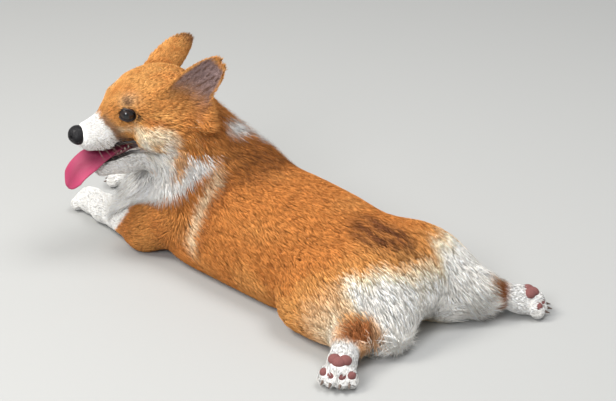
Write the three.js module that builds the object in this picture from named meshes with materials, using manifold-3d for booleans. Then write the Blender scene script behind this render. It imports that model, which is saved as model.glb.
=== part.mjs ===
// A life-size Pembroke Welsh corgi lying flat on its belly with its hind legs stretched out behind,
// its forelegs straight in front and its head up and turned to its own left, mouth open, tongue out.
// Millimetres, +Z up, the dog's nose end towards -Y, its left side towards +X. The floor is Z = 0 and
// the origin is under the middle of the belly.
import * as THREE from "three";
import { mergeVertices } from "three/addons/utils/BufferGeometryUtils.js";
import Module from "manifold-3d";

const wasm = await Module();
wasm.setup();

// Driving sizes of the dog
const GAP = 0.3; // between two nodes that touch
const BACK_HEIGHT = 134; // top of the coat over the loin, lying down
const BELLY_HALF_WIDTH = 100;
const CHEST_HALF_WIDTH = 84;
const RUMP_Y = 276; // hindmost coat of the trunk
const HEAD_CENTRE = [53, -182, 212];
const HEAD_TURN = 69; // degrees, from straight ahead towards the dog's left
const HEAD_ROLL = -3;
const MUZZLE_LENGTH = 128; // skull centre to nose tip
const EYE_RADIUS = 12;
const LID_THICKNESS = 1.8;
const EAR_HALF_WIDTH = 28;

// Edge lengths of the nets' cells
const TRUNK_CELL = 22;
const THIGH_CELL = 17;
const LIMB_CELL = 12.5;
const PAW_CELL = 9;
const HEAD_CELL = 9.4;

// Head frame: x forward to the nose, y to the dog's left, z up
const turn = THREE.MathUtils.degToRad(HEAD_TURN);
const headForward = new THREE.Vector3(Math.sin(turn), -Math.cos(turn), 0);
const headFrame = new THREE.Matrix4()
  .makeBasis(headForward, new THREE.Vector3(0, 0, 1).cross(headForward), new THREE.Vector3(0, 0, 1))
  .multiply(new THREE.Matrix4().makeRotationX(THREE.MathUtils.degToRad(HEAD_ROLL)))
  .setPosition(...HEAD_CENTRE);
const toHead = headFrame.clone().invert().elements;
const onHead = (x, y, z) => new THREE.Vector3(x, y, z).applyMatrix4(headFrame).toArray();
const headWay = (x, y, z) => new THREE.Vector3(x, y, z).transformDirection(headFrame).toArray();

// A shape is a function of a point that is negative inside: eggs and tapered rods, softly joined
const egg = ([cx, cy, cz], [rx, ry, rz]) => (p) => {
  const x = (p[0] - cx) / rx;
  const y = (p[1] - cy) / ry;
  const z = (p[2] - cz) / rz;
  const near = Math.sqrt(x * x + y * y + z * z);
  const slope = Math.sqrt((x / rx) ** 2 + (y / ry) ** 2 + (z / rz) ** 2);
  return slope < 1e-9 ? -Math.min(rx, ry, rz) : (near * (near - 1)) / slope;
};
const rod = (a, ra, b, rb) => {
  const [dx, dy, dz] = b.map((v, i) => v - a[i]);
  const length2 = dx * dx + dy * dy + dz * dz;
  return (p) => {
    const x = p[0] - a[0];
    const y = p[1] - a[1];
    const z = p[2] - a[2];
    const t = Math.min(1, Math.max(0, (x * dx + y * dy + z * dz) / length2));
    return Math.sqrt((x - dx * t) ** 2 + (y - dy * t) ** 2 + (z - dz * t) ** 2) - ra - (rb - ra) * t;
  };
};
const soft = (blend, ...shapes) => (p) => {
  let d = 1e3;
  for (const shape of shapes) {
    const e = shape(p);
    const h = Math.max(blend - Math.abs(d - e), 0) / blend;
    d = Math.min(d, e) - h * h * blend * 0.25;
  }
  return d;
};
const without = (shape, hole) => (p) => Math.max(shape(p), -hole(p));
const inHead = (shape) => (p) => shape([0, 1, 2].map((i) =>
  toHead[i] * p[0] + toHead[4 + i] * p[1] + toHead[8 + i] * p[2] + toHead[12 + i]));
const both = (make) => [make(1), make(-1)];
const along = (a, b, t) => a.map((v, i) => v + (b[i] - v) * t);

// Trunk and neck, at the outside of the coat, or half way down the locks where the coat is long
const trunk = soft(
  40,
  egg([0, -108, 78], [CHEST_HALF_WIDTH, 96, 84]),
  egg([12, -176, 70], [50, 42, 52]),
  egg([0, -5, BACK_HEIGHT / 2], [BELLY_HALF_WIDTH, 145, BACK_HEIGHT / 2 + 8]),
  egg([0, 110, 60], [BELLY_HALF_WIDTH - 6, 110, 66]),
  egg([0, 195, 58], [BELLY_HALF_WIDTH - 6, RUMP_Y - 195, 64]),
  ...both((side) => rod([side * 64, -100, 35], 35, [side * 66, 70, 34], 36)),
);
const neckShape = rod([2, -112, 102], 76, [30, -158, 172], 63);

// Each side's limb is the same chain, with its own joints where the pose differs
const LIMBS = {
  left: {
    side: 1,
    shoulder: [64, -128, 66],
    elbow: [84, -182, 30],
    wrist: [69, -292, 21],
    foreToes: [55, -364, 13],
    hip: [80, 180, 50],
    stifle: [98, 140, 34],
    hock: [110, 236, 34],
    hindToes: [188, 281, 15],
    buttock: [60, 240, 30],
  },
  right: {
    side: -1,
    shoulder: [-64, -138, 66],
    elbow: [-78, -202, 30],
    wrist: [-50, -316, 21],
    foreToes: [-26, -396, 13],
    hip: [-80, 192, 50],
    stifle: [-100, 150, 34],
    hock: [-90, 280, 34],
    hindToes: [-156, 344, 15],
    buttock: [-66, 248, 32],
  },
};
const TOE_SPREAD = [-16.5, -6, 6, 16.5];
const pawPoint = (from, toes) => {
  const heading = new THREE.Vector3(...toes).sub(new THREE.Vector3(...from)).setZ(0).normalize();
  return (forward, sideways, height) => [
    toes[0] + heading.x * forward - heading.y * sideways,
    toes[1] + heading.y * forward + heading.x * sideways,
    height,
  ];
};
const paw = (from, toes) => {
  const at = pawPoint(from, toes);
  return soft(
    5,
    rod(at(-36, 0, 19), 18, at(-22, 0, 17), 18),
    ...TOE_SPREAD.map((s) => rod(at(-20, s * 0.8, 15), 11, at(-9 - Math.abs(s) * 0.45, s, 11), 10)),
  );
};
const foreleg = ({ shoulder, elbow, wrist }) =>
  soft(18, rod(shoulder, 40, elbow, 30), rod(elbow, 29, wrist, 19));
const forefoot = ({ wrist, foreToes }) =>
  soft(10, rod(wrist, 19, along(wrist, foreToes, 0.5), 17), paw(wrist, foreToes));
const hindleg = ({ hip, stifle, hock, buttock, side }) =>
  soft(26, egg(hip, [50, 76, 52 + side * 2]), rod(stifle, 34, hock, 22), egg(buttock, [48, 46, 44]));
const hindfoot = ({ hock, hindToes }) =>
  soft(10, rod(hock, 21, along(hock, hindToes, 0.55), 16), paw(hock, hindToes));

// Head, in its own frame. The mouth is open by a wedge between the upper lip and the lower one
const mouthOpening = (p) => {
  const lipDroop = Math.max(0, Math.min(1, (p[0] - 60) / 25)) * 8.5;
  const belowUpperLip = p[2] + 40 + lipDroop;
  const aboveLowerLip = -55 - 0.43 * (p[0] - 50) - p[2];
  return Math.max(belowUpperLip, aboveLowerLip, 25 - p[0]);
};
const skull = soft(
  14,
  egg([2, 0, 8], [62, 54, 48]),
  rod([32, 0, 6], 40, [54, 0, -1], 29),
  ...both((side) => egg([8, side * 35, -24], [42, 35, 33])),
  ...both((side) => egg([50, side * 20, 18], [17, 12, 9])),
  rod([54, 0, -13], 29, [MUZZLE_LENGTH - 24, 0, -25], 19),
  ...both((side) => rod([82, side * 9, -35], 15, [102, side * 8, -35], 13)),
);
const jawShape = soft(
  14,
  rod([8, 0, -62], 33, [50, 0, -73], 20),
  rod([50, 0, -73], 20, [84, 0, -83], 13),
);
const headShape = inHead(without(soft(14, skull, jawShape), mouthOpening));

const limbs = Object.values(LIMBS);
const body = soft(30, trunk, neckShape, ...limbs.flatMap((limb) => [foreleg(limb), hindleg(limb)]));
const feet = limbs.flatMap((limb) => [forefoot(limb), hindfoot(limb)]);
const dog = soft(14, soft(22, body, headShape), ...feet);

// Areas of long coat: the egg each fills, the way its hair lies, and how far its locks stand off the core
const LONG_COAT = [
  // Bib, down the front of the neck and the chest
  { centre: [30, -200, 80], radii: [88, 56, 84], lie: [0.1, -0.2, -1], depth: 11, length: 46, spacing: 32 },
  // Ruff, round the back and sides of the neck
  { centre: [8, -112, 140], radii: [116, 60, 74], lie: [-0.2, 0.75, -0.65], depth: 10, length: 46, spacing: 38 },
  // Cheeks, in front of the ruff
  ...[1, -1].map((side) => ({
    centre: onHead(0, side * 58, -40),
    radii: [36, 36, 34],
    lie: headWay(-0.75, side * 0.15, -0.65),
    depth: 6,
    length: 32,
    spacing: 24,
  })),
  // Breeches, over the backs of the thighs
  ...[1, -1].map((side) => ({
    centre: [side * 62, 262, 44],
    radii: [64, 62, 66],
    lie: [side * 0.15, 1, -0.45],
    depth: 12,
    length: 46,
    spacing: 27,
  })),
  // Fringe along the flanks, above the floor
  ...[1, -1].map((side) => ({
    centre: [side * 104, 20, 28],
    radii: [36, 120, 40],
    lie: [0, 0.75, -0.5],
    depth: 6,
    length: 40,
    spacing: 38,
  })),
].map((area) => ({ ...area, near: egg(area.centre, area.radii) }));
const EDGE = 16; // an area's locks rise to their full depth over this distance
const share = (area, p) => Math.max(0, Math.min(1, -area.near(p) / EDGE));
const core = (p) => dog(p) + Math.max(...LONG_COAT.map((area) => area.depth * share(area, p)));

// A net of quads over the surface where a shape is zero: one vertex in each cell that the surface crosses
const CORNERS = [0, 1, 2, 3, 4, 5, 6, 7].map((c) => [c & 1, (c >> 1) & 1, c >> 2]);
const EDGES = CORNERS.flatMap((a, x) => CORNERS.slice(x + 1)
  .filter((b) => Math.abs(a[0] - b[0]) + Math.abs(a[1] - b[1]) + Math.abs(a[2] - b[2]) === 1)
  .map((b) => [a, b]));
function net(shape, low, high, cell) {
  const n = low.map((v, i) => Math.ceil((high[i] - v) / cell) + 3);
  const at = (i, j, k) => (i * n[1] + j) * n[2] + k;
  const values = new Float32Array(n[0] * n[1] * n[2]);
  for (let i = 0; i < n[0]; i++)
    for (let j = 0; j < n[1]; j++)
      for (let k = 0; k < n[2]; k++) {
        const border = Math.min(i, j, k) < 2 || i > n[0] - 3 || j > n[1] - 3 || k > n[2] - 3;
        values[at(i, j, k)] = border ? 1 : shape([low[0] + i * cell, low[1] + j * cell, low[2] + k * cell]);
      }
  const vertexOf = new Map();
  const positions = [];
  const vertex = (i, j, k) => {
    const key = at(i, j, k);
    if (vertexOf.has(key)) return vertexOf.get(key);
    const sum = [0, 0, 0];
    let count = 0;
    for (const [a, b] of EDGES) {
      const va = values[at(i + a[0], j + a[1], k + a[2])];
      const vb = values[at(i + b[0], j + b[1], k + b[2])];
      if (va < 0 === vb < 0) continue;
      const t = va / (va - vb);
      [i, j, k].forEach((v, d) => (sum[d] += v + a[d] + (b[d] - a[d]) * t));
      count++;
    }
    sum.forEach((v, d) => positions.push(low[d] + (v / count) * cell));
    vertexOf.set(key, vertexOf.size);
    return vertexOf.size - 1;
  };
  const faces = [];
  for (let i = 1; i < n[0] - 1; i++)
    for (let j = 1; j < n[1] - 1; j++)
      for (let k = 1; k < n[2] - 1; k++)
        for (let d = 0; d < 3; d++) {
          const next = [i, j, k];
          next[d] += 1;
          const inside = values[at(i, j, k)] < 0;
          if (inside === values[at(...next)] < 0) continue;
          const quad = [[1, 1], [0, 1], [0, 0], [1, 0]].map(([du, dv]) => {
            const c = [i, j, k];
            c[(d + 1) % 3] -= du;
            c[(d + 2) % 3] -= dv;
            return vertex(...c);
          });
          if (!inside) quad.reverse();
          faces.push(quad[0], quad[1], quad[2], quad[0], quad[2], quad[3]);
        }
  const geometry = new THREE.BufferGeometry();
  geometry.setAttribute("position", new THREE.Float32BufferAttribute(positions, 3));
  return geometry.setIndex(faces);
}

// Solids are joined and cut, and go back to being geometry at the end
const solidOf = (geometry) => {
  const bare = geometry.clone();
  bare.deleteAttribute("normal");
  bare.deleteAttribute("uv");
  const merged = mergeVertices(bare, 1e-4);
  return new wasm.Manifold(new wasm.Mesh({
    numProp: 3,
    vertProperties: merged.attributes.position.array,
    triVerts: new Uint32Array(merged.index.array),
  }));
};
const geometryOf = (solid) => {
  const mesh = solid.getMesh();
  const geometry = new THREE.BufferGeometry();
  geometry.setAttribute("position", new THREE.BufferAttribute(new Float32Array(mesh.vertProperties), 3));
  return geometry.setIndex(new THREE.BufferAttribute(new Uint32Array(mesh.triVerts), 1)).toNonIndexed();
};
// Where two corners of a cell touch only across it, four faces of a net share an edge
const meetsItself = (solid) => {
  const index = mergeVertices(geometryOf(solid), 1e-4).index.array;
  const ways = new Set(Array.from(index, (v, i) => `${v} ${index[i % 3 === 2 ? i - 2 : i + 1]}`));
  return ways.size < index.length;
};
const largest = (solid) => solid.decompose().reduce((a, b) => (b.volume() > a.volume() ? b : a));
const join = (solids) => solids.reduce((a, b) => a.add(b));

// A region is a list of planes, [point, outward direction]; a block fills it as one convex solid
const FAR = 1500;
function block(planes, grow = 0) {
  return planes.map(([point, out]) => {
    const slab = new THREE.BoxGeometry(FAR, FAR, FAR);
    slab.translate(0, 0, -FAR / 2 + grow);
    slab.applyQuaternion(new THREE.Quaternion().setFromUnitVectors(
      new THREE.Vector3(0, 0, 1), new THREE.Vector3(...out).normalize()));
    slab.translate(...point);
    return solidOf(slab);
  }).reduce((a, b) => a.intersect(b));
}
const FLOOR = [[0, 0, 0], [0, 0, -1]];
const boxSides = ([centre, reach]) => [0, 1, 2].flatMap((i) => [-1, 1].map((s) => {
  const out = [0, 0, 0];
  out[i] = s;
  return [centre.map((v, d) => v + out[d] * reach), out];
}));
const toward = (a, b) => b.map((v, i) => v - a[i]);

// Where a person would divide the body: each region is cut from the whole dog, the paws first
const limbRegions = Object.entries(LIMBS).flatMap(([name, limb]) => {
  const s = limb.side;
  return [
    {
      node: `fore_paw_${name}`,
      cell: PAW_CELL,
      planes: [[along(limb.wrist, limb.foreToes, 0.3), toward(limb.foreToes, limb.wrist)]],
      box: [limb.foreToes, 70],
    },
    {
      node: `hind_paw_${name}`,
      cell: PAW_CELL,
      planes: [[along(limb.hock, limb.hindToes, 0.42), toward(limb.hindToes, limb.hock)]],
      box: [limb.hindToes, 75],
    },
    {
      node: `forearm_${name}`,
      cell: LIMB_CELL,
      planes: [
        [along(limb.elbow, limb.wrist, 0.36), toward(limb.wrist, limb.elbow)],
        [[s * 18, 0, 0], [-s, 0, 0]],
        [[0, 0, 70], [0, 0, 1]],
      ],
      box: [limb.wrist, 130],
    },
    {
      node: `hock_${name}`,
      cell: LIMB_CELL,
      planes: [[along(limb.hock, limb.hindToes, 0.12), toward(limb.hindToes, limb.hock)]],
      box: [along(limb.hock, limb.hindToes, 0.3), 52],
    },
    {
      node: `upper_arm_${name}`,
      cell: LIMB_CELL,
      planes: [
        [[s * 64, -150, 0], [-s, 0.25, 0]],
        [[0, -92, 0], [0, 1, 0.25]],
        [[0, 0, 112], [s * 0.5, 0, 1]],
      ],
      box: [[s * 80, -150, 50], 110],
    },
    {
      node: `thigh_${name}`,
      cell: THIGH_CELL,
      planes: [[[s * 42, 200, 60], [-s, 0, 0.35]], [[0, 92, 0], [0, -1, 0.2]]],
      box: [[s * 90, 190, 50], 150],
    },
  ];
});
const regions = [
  ...limbRegions,
  {
    node: "lower_jaw",
    cell: HEAD_CELL,
    planes: [[onHead(25, 0, -45), headWay(0.42, 0, 1)], [onHead(10, 0, -60), headWay(-1, 0, -0.35)]],
    box: [onHead(50, 0, -75), 75],
  },
  {
    node: "head",
    cell: HEAD_CELL,
    planes: [[onHead(-30, 12, -36), headWay(-0.55, 0.3, -0.78)]],
    box: [HEAD_CENTRE, 150],
  },
  {
    node: "neck",
    cell: TRUNK_CELL,
    planes: [[[0, -118, 118], [-0.25, 0.75, -1]]],
    box: [[20, -160, 160], 140],
  },
  { node: "torso", cell: TRUNK_CELL, planes: [], box: [[0, 40, 90], 380] },
];

// A leaf is a flat, tapered form along a curve: s runs from its root, 0, to its tip, 1
function leaf({ path, across, half, thick, cup = () => 0, sides = 6, rings = 4, grow = 0 }) {
  const curve = new THREE.CatmullRomCurve3(path.map((q) => new THREE.Vector3(...q)));
  const geometry = new THREE.SphereGeometry(1, sides, rings);
  const position = geometry.attributes.position;
  for (let i = 0; i < position.count; i++) {
    const s = Math.acos(Math.max(-1, Math.min(1, -position.getY(i)))) / Math.PI;
    const ring = Math.hypot(position.getX(i), position.getZ(i));
    const x = ring < 1e-6 ? 0 : position.getX(i) / ring;
    const z = ring < 1e-6 ? 0 : position.getZ(i) / ring;
    const tangent = curve.getTangent(s);
    const side = new THREE.Vector3(...across).projectOnPlane(tangent).normalize();
    const face = new THREE.Vector3().crossVectors(side, tangent);
    const q = curve.getPoint(s);
    const more = grow * 3; // its sides slant, so that a plain gap would be thinner across them
    if (ring < 1e-6) q.addScaledVector(tangent, s < 0.5 ? -more : more);
    else {
      const aside = x * (half(s) + more);
      const curl = cup(s) * (aside / half(s)) ** 2;
      q.addScaledVector(side, aside).addScaledVector(face, z * (thick(s) + more) + curl);
    }
    position.setXYZ(i, ...q);
  }
  return solidOf(geometry);
}

// Locks: each starts well under the core, rises out of it and bends down again to the coat's outline
const LOCK_HALF_WIDTH = 10;
const LOCK_THICKNESS = 3.2;
const ROOT_DEPTH = 9;
let seed = 21;
const random = () => {
  seed = (seed * 1664525 + 1013904223) % 2 ** 32;
  return seed / 2 ** 32;
};
const between = (low, high) => low + (high - low) * random();
const outward = (shape, p) => {
  const step = (d, way) => shape(p.map((v, i) => v + (i === d ? way : 0)));
  return new THREE.Vector3(...[0, 1, 2].map((d) => step(d, 1) - step(d, -1))).normalize();
};
const settle = (shape, level, start) => {
  let p = start;
  for (let i = 0; i < 5; i++) {
    const out = outward(shape, p);
    p = new THREE.Vector3(...p).addScaledVector(out, level - shape(p)).toArray();
  }
  return p;
};
const inRegion = ({ planes, box }, p) => [...planes, ...boxSides(box)]
  .every(([point, out]) => new THREE.Vector3(...toward(point, p)).dot(new THREE.Vector3(...out)) < 0);
const lockOn = (rootPoint, area) => {
  const out = outward(core, rootPoint);
  const lie = new THREE.Vector3(...area.lie).applyAxisAngle(out, between(-0.25, 0.25));
  lie.addScaledVector(out, -lie.dot(out)).normalize();
  const length = area.length * between(0.85, 1.2);
  const start = new THREE.Vector3(...rootPoint);
  const at = (t, level) => settle(dog, level, start.clone().addScaledVector(lie, length * t).toArray());
  const width = LOCK_HALF_WIDTH * between(0.85, 1.15) * Math.min(1, area.length / 40);
  return leaf({
    path: [
      start.clone().addScaledVector(out, -ROOT_DEPTH).addScaledVector(lie, -4).toArray(),
      at(0.22, -area.depth * 0.6),
      at(0.6, -area.depth * 0.28),
      at(1, -1),
    ],
    across: lie.clone().cross(out).toArray(),
    half: (s) => width * Math.min(1, 0.7 + s) * Math.sqrt(1 - s * s),
    thick: (s) => LOCK_THICKNESS * (1 - 0.5 * s),
    sides: 4,
  });
};
const locks = new Map(regions.map(({ node }) => [node, []]));
const roots = [];
const TRIES = 260;
for (const area of LONG_COAT)
  for (let i = 0; i < TRIES; i++) {
    const root = settle(core, 0, area.centre.map((v, d) => v + area.radii[d] * between(-1, 1)));
    if (root[2] < 14 || share(area, root) < 0.3 || Math.abs(core(root)) > 1) continue;
    if (roots.some((q) => Math.hypot(...toward(q, root)) < area.spacing)) continue;
    const host = regions.find((region) => inRegion(region, root)).node;
    if (host === "lower_jaw") continue;
    roots.push(root);
    locks.get(host).push(lockOn(root, area));
  }

const NUDGE = 0.13; // moves the grid of a net whose node meets itself
const NUDGES = 20;
const made = new Map();
const taken = [];
for (const { node, cell, planes, box } of regions) {
  const sides = [...planes, ...boxSides(box)];
  const outs = planes.map(([point, out]) => [point, new THREE.Vector3(...out).normalize().toArray()]);
  const field = (p) => {
    let fence = -4 - p[2];
    for (const [q, o] of outs) {
      const beyond = o[0] * (p[0] - q[0]) + o[1] * (p[1] - q[1]) + o[2] * (p[2] - q[2]);
      fence = Math.max(fence, beyond - cell * 1.5);
    }
    return fence > cell ? fence : Math.max(fence, core(p));
  };
  const margin = box[1] + cell * 3;
  const high = box[0].map((v) => v + margin);
  const place = block([...sides, FLOOR]);
  for (let nudge = 0; nudge < NUDGES && !made.has(node); nudge++) {
    const low = box[0].map((v, i) => v - margin + nudge * NUDGE * (i + 1));
    low[2] = Math.max(low[2], nudge * NUDGE - cell * 3);
    try {
      const flesh = solidOf(net(field, low, high, cell));
      const whole = join([flesh, ...locks.get(node)]).intersect(place);
      const solid = largest(taken.reduce((a, b) => a.subtract(b), whole));
      if (!meetsItself(solid)) made.set(node, solid);
    } catch (error) {
      if (!String(error).includes("anifold")) throw error;
    }
  }
  taken.push(block(sides, GAP));
}

// A piece that sits in the flesh: each host is hollowed for it with a gap all round
function setInto(hosts, node, make) {
  for (const host of hosts) made.set(host, largest(made.get(host).subtract(make(GAP))));
  made.set(node, make(0));
}
const SIDES = Object.entries({ left: 1, right: -1 });

// Ears: tall, round-tipped, laid back, each a cup open to its own side
const earShape = (side, grow) => leaf({
  path: [[-14, 34, 4], [-27, 43, 24], [-50, 50, 48], [-74, 53, 77]]
    .map(([x, y, z]) => onHead(x, side * y, z)),
  across: headWay(-0.69, side * 0.22, -0.69),
  half: (s) => EAR_HALF_WIDTH * Math.sqrt(Math.min(1, s / 0.12)) * (1 - s ** 3) ** 0.55,
  thick: (s) => 3.4 - 1.6 * s,
  cup: (s) => side * 15 * (1 - 0.75 * s),
  sides: 12,
  rings: 10,
  grow,
});
for (const [name, side] of SIDES) setInto(["head", "neck"], `ear_${name}`, (grow) => earShape(side, grow));

// A ball or egg on the head, turned with it
const ball = (centre, radii, around = 12, up = 8) => {
  const geometry = new THREE.SphereGeometry(1, around, up);
  geometry.applyMatrix4(new THREE.Matrix4().makeScale(...radii));
  geometry.applyMatrix4(headFrame.clone().setPosition(...onHead(...centre)));
  return solidOf(geometry);
};
const same = (r) => [r, r, r];

// Eyes: a ball in a socket under two lids, which leave an almond between the corners open
const eyeCentre = (side) => [54, side * 25.5, 5];
const lids = (side) => {
  const almond = new THREE.Shape();
  almond.moveTo(-12, -1);
  almond.quadraticCurveTo(-2, 15, 12, 1);
  almond.quadraticCurveTo(1, -13, -12, -1);
  const opening = new THREE.ExtrudeGeometry(almond, { depth: 30, bevelEnabled: false, curveSegments: 4 });
  const out = new THREE.Vector3(0.5, side * 0.85, 0.12).normalize();
  const forward = new THREE.Vector3(0, 0, 1).cross(out).multiplyScalar(-side).normalize();
  const stand = new THREE.Matrix4().makeBasis(forward.multiplyScalar(side), out.clone().cross(forward), out);
  opening.applyMatrix4(stand.setPosition(...eyeCentre(side)));
  opening.applyMatrix4(headFrame);
  return ball(eyeCentre(side), same(EYE_RADIUS + LID_THICKNESS)).subtract(solidOf(opening));
};
for (const [name, side] of SIDES) {
  made.set("head", made.get("head").add(lids(side)));
  setInto(["head"], `eye_${name}`, (grow) => ball(eyeCentre(side), same(EYE_RADIUS + grow)));
}

// Nose leather, set into the end of the muzzle, with two nostrils that run out to its sides
setInto(["head"], "nose", (grow) => ball([120, 0, -23], [12.5 + grow, 13.5 + grow, 12 + grow]));
const nostrils = [1, -1].flatMap((side) => [
  ball([130.5, side * 6, -23], [4, 3, 3.2], 6, 4),
  ball([127.5, side * 10, -25], [3.5, 3.5, 1.6], 6, 4),
]);
made.set("nose", made.get("nose").subtract(join(nostrils)));

// Lower teeth: one row of small teeth on a narrow gum round the front of the jaw
const nearRow = [[46, 13, -53], [66, 11.5, -62], [81, 9, -69]];
const farRow = nearRow.map(([x, y, z]) => [x, -y, z]).reverse();
const toothRow = new THREE.CatmullRomCurve3(
  [...nearRow, [88.5, 0, -73], ...farRow].map((q) => new THREE.Vector3(...onHead(...q))));
const TEETH = 11;
const TOOTH_HEIGHT = 5;
const CANINE_HEIGHT = 9;
const teeth = (grow) => {
  const section = new THREE.Shape().absarc(0, 0, 2.2 + grow, 0, Math.PI * 2);
  const gum = solidOf(new THREE.ExtrudeGeometry(section, {
    curveSegments: 2,
    steps: 12,
    bevelEnabled: false,
    extrudePath: toothRow,
  }));
  const crowns = Array.from({ length: TEETH }, (_, i) => {
    const height = (i === 3 || i === TEETH - 4 ? CANINE_HEIGHT : TOOTH_HEIGHT) + grow;
    const cone = new THREE.ConeGeometry(1.9 + grow, height + 2, 5);
    cone.rotateX(Math.PI / 2);
    cone.translate(...toothRow.getPointAt((i + 0.5) / TEETH).add(new THREE.Vector3(0, 0, height / 2)));
    return solidOf(cone);
  });
  return join([gum, ...crowns]);
};
setInto(["lower_jaw", "head"], "lower_teeth", teeth);

// Tongue: narrow between the teeth, wide where it hangs over the end of the jaw, with a groove along it
const TONGUE_HALF_WIDTH = 18;
const tongue = (grow) => leaf({
  path: [[36, 0, -49], [60, 0, -54.5], [92, 2, -63], [119, 4, -79], [136, 4, -105]].map((q) => onHead(...q)),
  across: headWay(0, 1, 0),
  half: (s) => TONGUE_HALF_WIDTH * Math.min(1, 0.45 + s * 1.1) * Math.min(1, (1 - s) / 0.14, s / 0.05) ** 0.5,
  thick: (s) => 4.2 - s,
  cup: (s) => 2.5 * Math.sin(Math.PI * s),
  sides: 10,
  rings: 11,
  grow,
});
setInto(["lower_jaw", "head", "neck"], "tongue", tongue);
made.set("tongue", largest(made.get("tongue").subtract(teeth(GAP))));

// Tail: a short stub in its own fur, low on the rump
const TAIL = [0, 229, 112];
const tailShape = (grow) => {
  const stub = new THREE.SphereGeometry(1, 12, 8);
  stub.scale(17 + grow, 23 + grow, 13 + grow);
  stub.rotateX(-0.35);
  stub.translate(...TAIL);
  return solidOf(stub);
};
setInto(["torso"], "tail", tailShape);

// Claws on every toe, and the bare pads of the hind feet, whose soles are turned up
const claw = (at, sideways, height) => {
  const cone = new THREE.ConeGeometry(2.8, 15, 5);
  cone.translate(0, 2, 0);
  cone.applyQuaternion(new THREE.Quaternion().setFromUnitVectors(
    new THREE.Vector3(0, 1, 0),
    new THREE.Vector3(...toward(at(0, 0, 0), at(1, sideways * 0.012, -0.28))).normalize()));
  cone.translate(...at(1 - Math.abs(sideways) * 0.45, sideways, height));
  return solidOf(cone);
};
const pad = (centre, radii) => {
  const geometry = new THREE.SphereGeometry(1, 7, 4);
  geometry.scale(...radii);
  geometry.translate(...centre);
  return solidOf(geometry);
};
for (const [name, { wrist, foreToes, hock, hindToes }] of Object.entries(LIMBS)) {
  const fore = pawPoint(wrist, foreToes);
  const hind = pawPoint(hock, hindToes);
  made.set(`fore_paw_${name}`, join([
    made.get(`fore_paw_${name}`),
    ...TOE_SPREAD.map((s) => claw(fore, s, 9)),
  ]));
  made.set(`hind_paw_${name}`, join([
    made.get(`hind_paw_${name}`),
    ...TOE_SPREAD.map((s) => claw(hind, s, 11)),
    ...TOE_SPREAD.map((s) => pad(hind(-9 - Math.abs(s) * 0.45, s, 18), [5, 5, 5])),
    pad(hind(-26, 0, 31), [10, 10, 6]),
  ]));
}

// Main colour and roughness of each node, before the markings
const LOOKS = {
  torso: [0xb06c30, 0.9],
  neck: [0xbd7d42, 0.9],
  head: [0xc98f52, 0.88],
  lower_jaw: [0xe9dccb, 0.88],
  ear: [0xb27a45, 0.85],
  upper_arm: [0xb16a30, 0.9],
  forearm: [0xe8e1d6, 0.9],
  fore_paw: [0xf0ebe2, 0.9],
  thigh: [0xe6cba8, 0.92],
  hock: [0xa7622d, 0.9],
  hind_paw: [0xe7ddd2, 0.88],
  tail: [0x7b4b2b, 0.92],
  eye: [0x1a1210, 0.12],
  nose: [0x151314, 0.45],
  tongue: [0xc5546f, 0.4],
  lower_teeth: [0xe8dfca, 0.35],
};
const root = new THREE.Group();
for (const [node, solid] of made) {
  const [color, roughness] = LOOKS[node.replace(/_(left|right)$/, "")];
  const material = new THREE.MeshStandardMaterial({ color, roughness, metalness: 0 });
  const mesh = new THREE.Mesh(geometryOf(solid), material);
  mesh.name = node;
  root.add(mesh);
}
export default root;
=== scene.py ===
import math

import bpy
import numpy as np
import openvdb
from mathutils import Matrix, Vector


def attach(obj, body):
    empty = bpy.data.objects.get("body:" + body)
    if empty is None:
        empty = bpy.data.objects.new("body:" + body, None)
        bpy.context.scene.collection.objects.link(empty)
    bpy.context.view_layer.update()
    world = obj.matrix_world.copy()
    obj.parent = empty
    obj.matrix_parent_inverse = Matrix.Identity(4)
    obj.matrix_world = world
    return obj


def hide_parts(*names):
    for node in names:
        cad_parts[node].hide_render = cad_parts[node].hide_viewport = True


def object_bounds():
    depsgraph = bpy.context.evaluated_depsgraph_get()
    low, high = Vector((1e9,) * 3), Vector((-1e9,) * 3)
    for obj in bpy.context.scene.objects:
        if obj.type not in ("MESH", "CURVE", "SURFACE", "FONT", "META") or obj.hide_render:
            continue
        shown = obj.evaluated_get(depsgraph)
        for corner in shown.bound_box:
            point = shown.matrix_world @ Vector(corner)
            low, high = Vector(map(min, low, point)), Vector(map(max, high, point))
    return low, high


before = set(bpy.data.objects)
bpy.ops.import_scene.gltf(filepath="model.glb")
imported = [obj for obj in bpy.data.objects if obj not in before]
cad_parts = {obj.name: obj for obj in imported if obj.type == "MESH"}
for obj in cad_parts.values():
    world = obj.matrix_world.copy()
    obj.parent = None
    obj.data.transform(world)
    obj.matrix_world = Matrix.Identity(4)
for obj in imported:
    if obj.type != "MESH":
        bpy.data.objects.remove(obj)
packed_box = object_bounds()

# The skin under the coat, from the nose to the hind toes in one piece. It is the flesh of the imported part, thinned by
# the coat's depth, with the lips, eye sockets, ear cups and the inside of the mouth worked into it. All in millimetres
# until a mesh is made.
up = np.array([0.0, 0.0, 1.0])
head_centre = np.array([53.0, -182.0, 212.0])
head_turn = math.radians(69)
head_roll = math.radians(-3)
head_ahead = np.array([math.sin(head_turn), -math.cos(head_turn), 0.0])
head_across = np.cross(up, head_ahead)
head_left = head_across * math.cos(head_roll) + up * math.sin(head_roll)
head_top = up * math.cos(head_roll) - head_across * math.sin(head_roll)
head_axes = np.stack([head_ahead, head_left, head_top])


def to_world(points):
    return np.asarray(points, float) @ head_axes + head_centre


def on_head(*point):
    return to_world(point)


def head_way(*way):
    return np.array(way, float) @ head_axes


def in_head(points):
    return (points - head_centre) @ head_axes.T


def to_left(q):
    # The same places on the head's left, for what both sides share
    return np.stack([q[:, 0], abs(q[:, 1]), q[:, 2]], 1)


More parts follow.
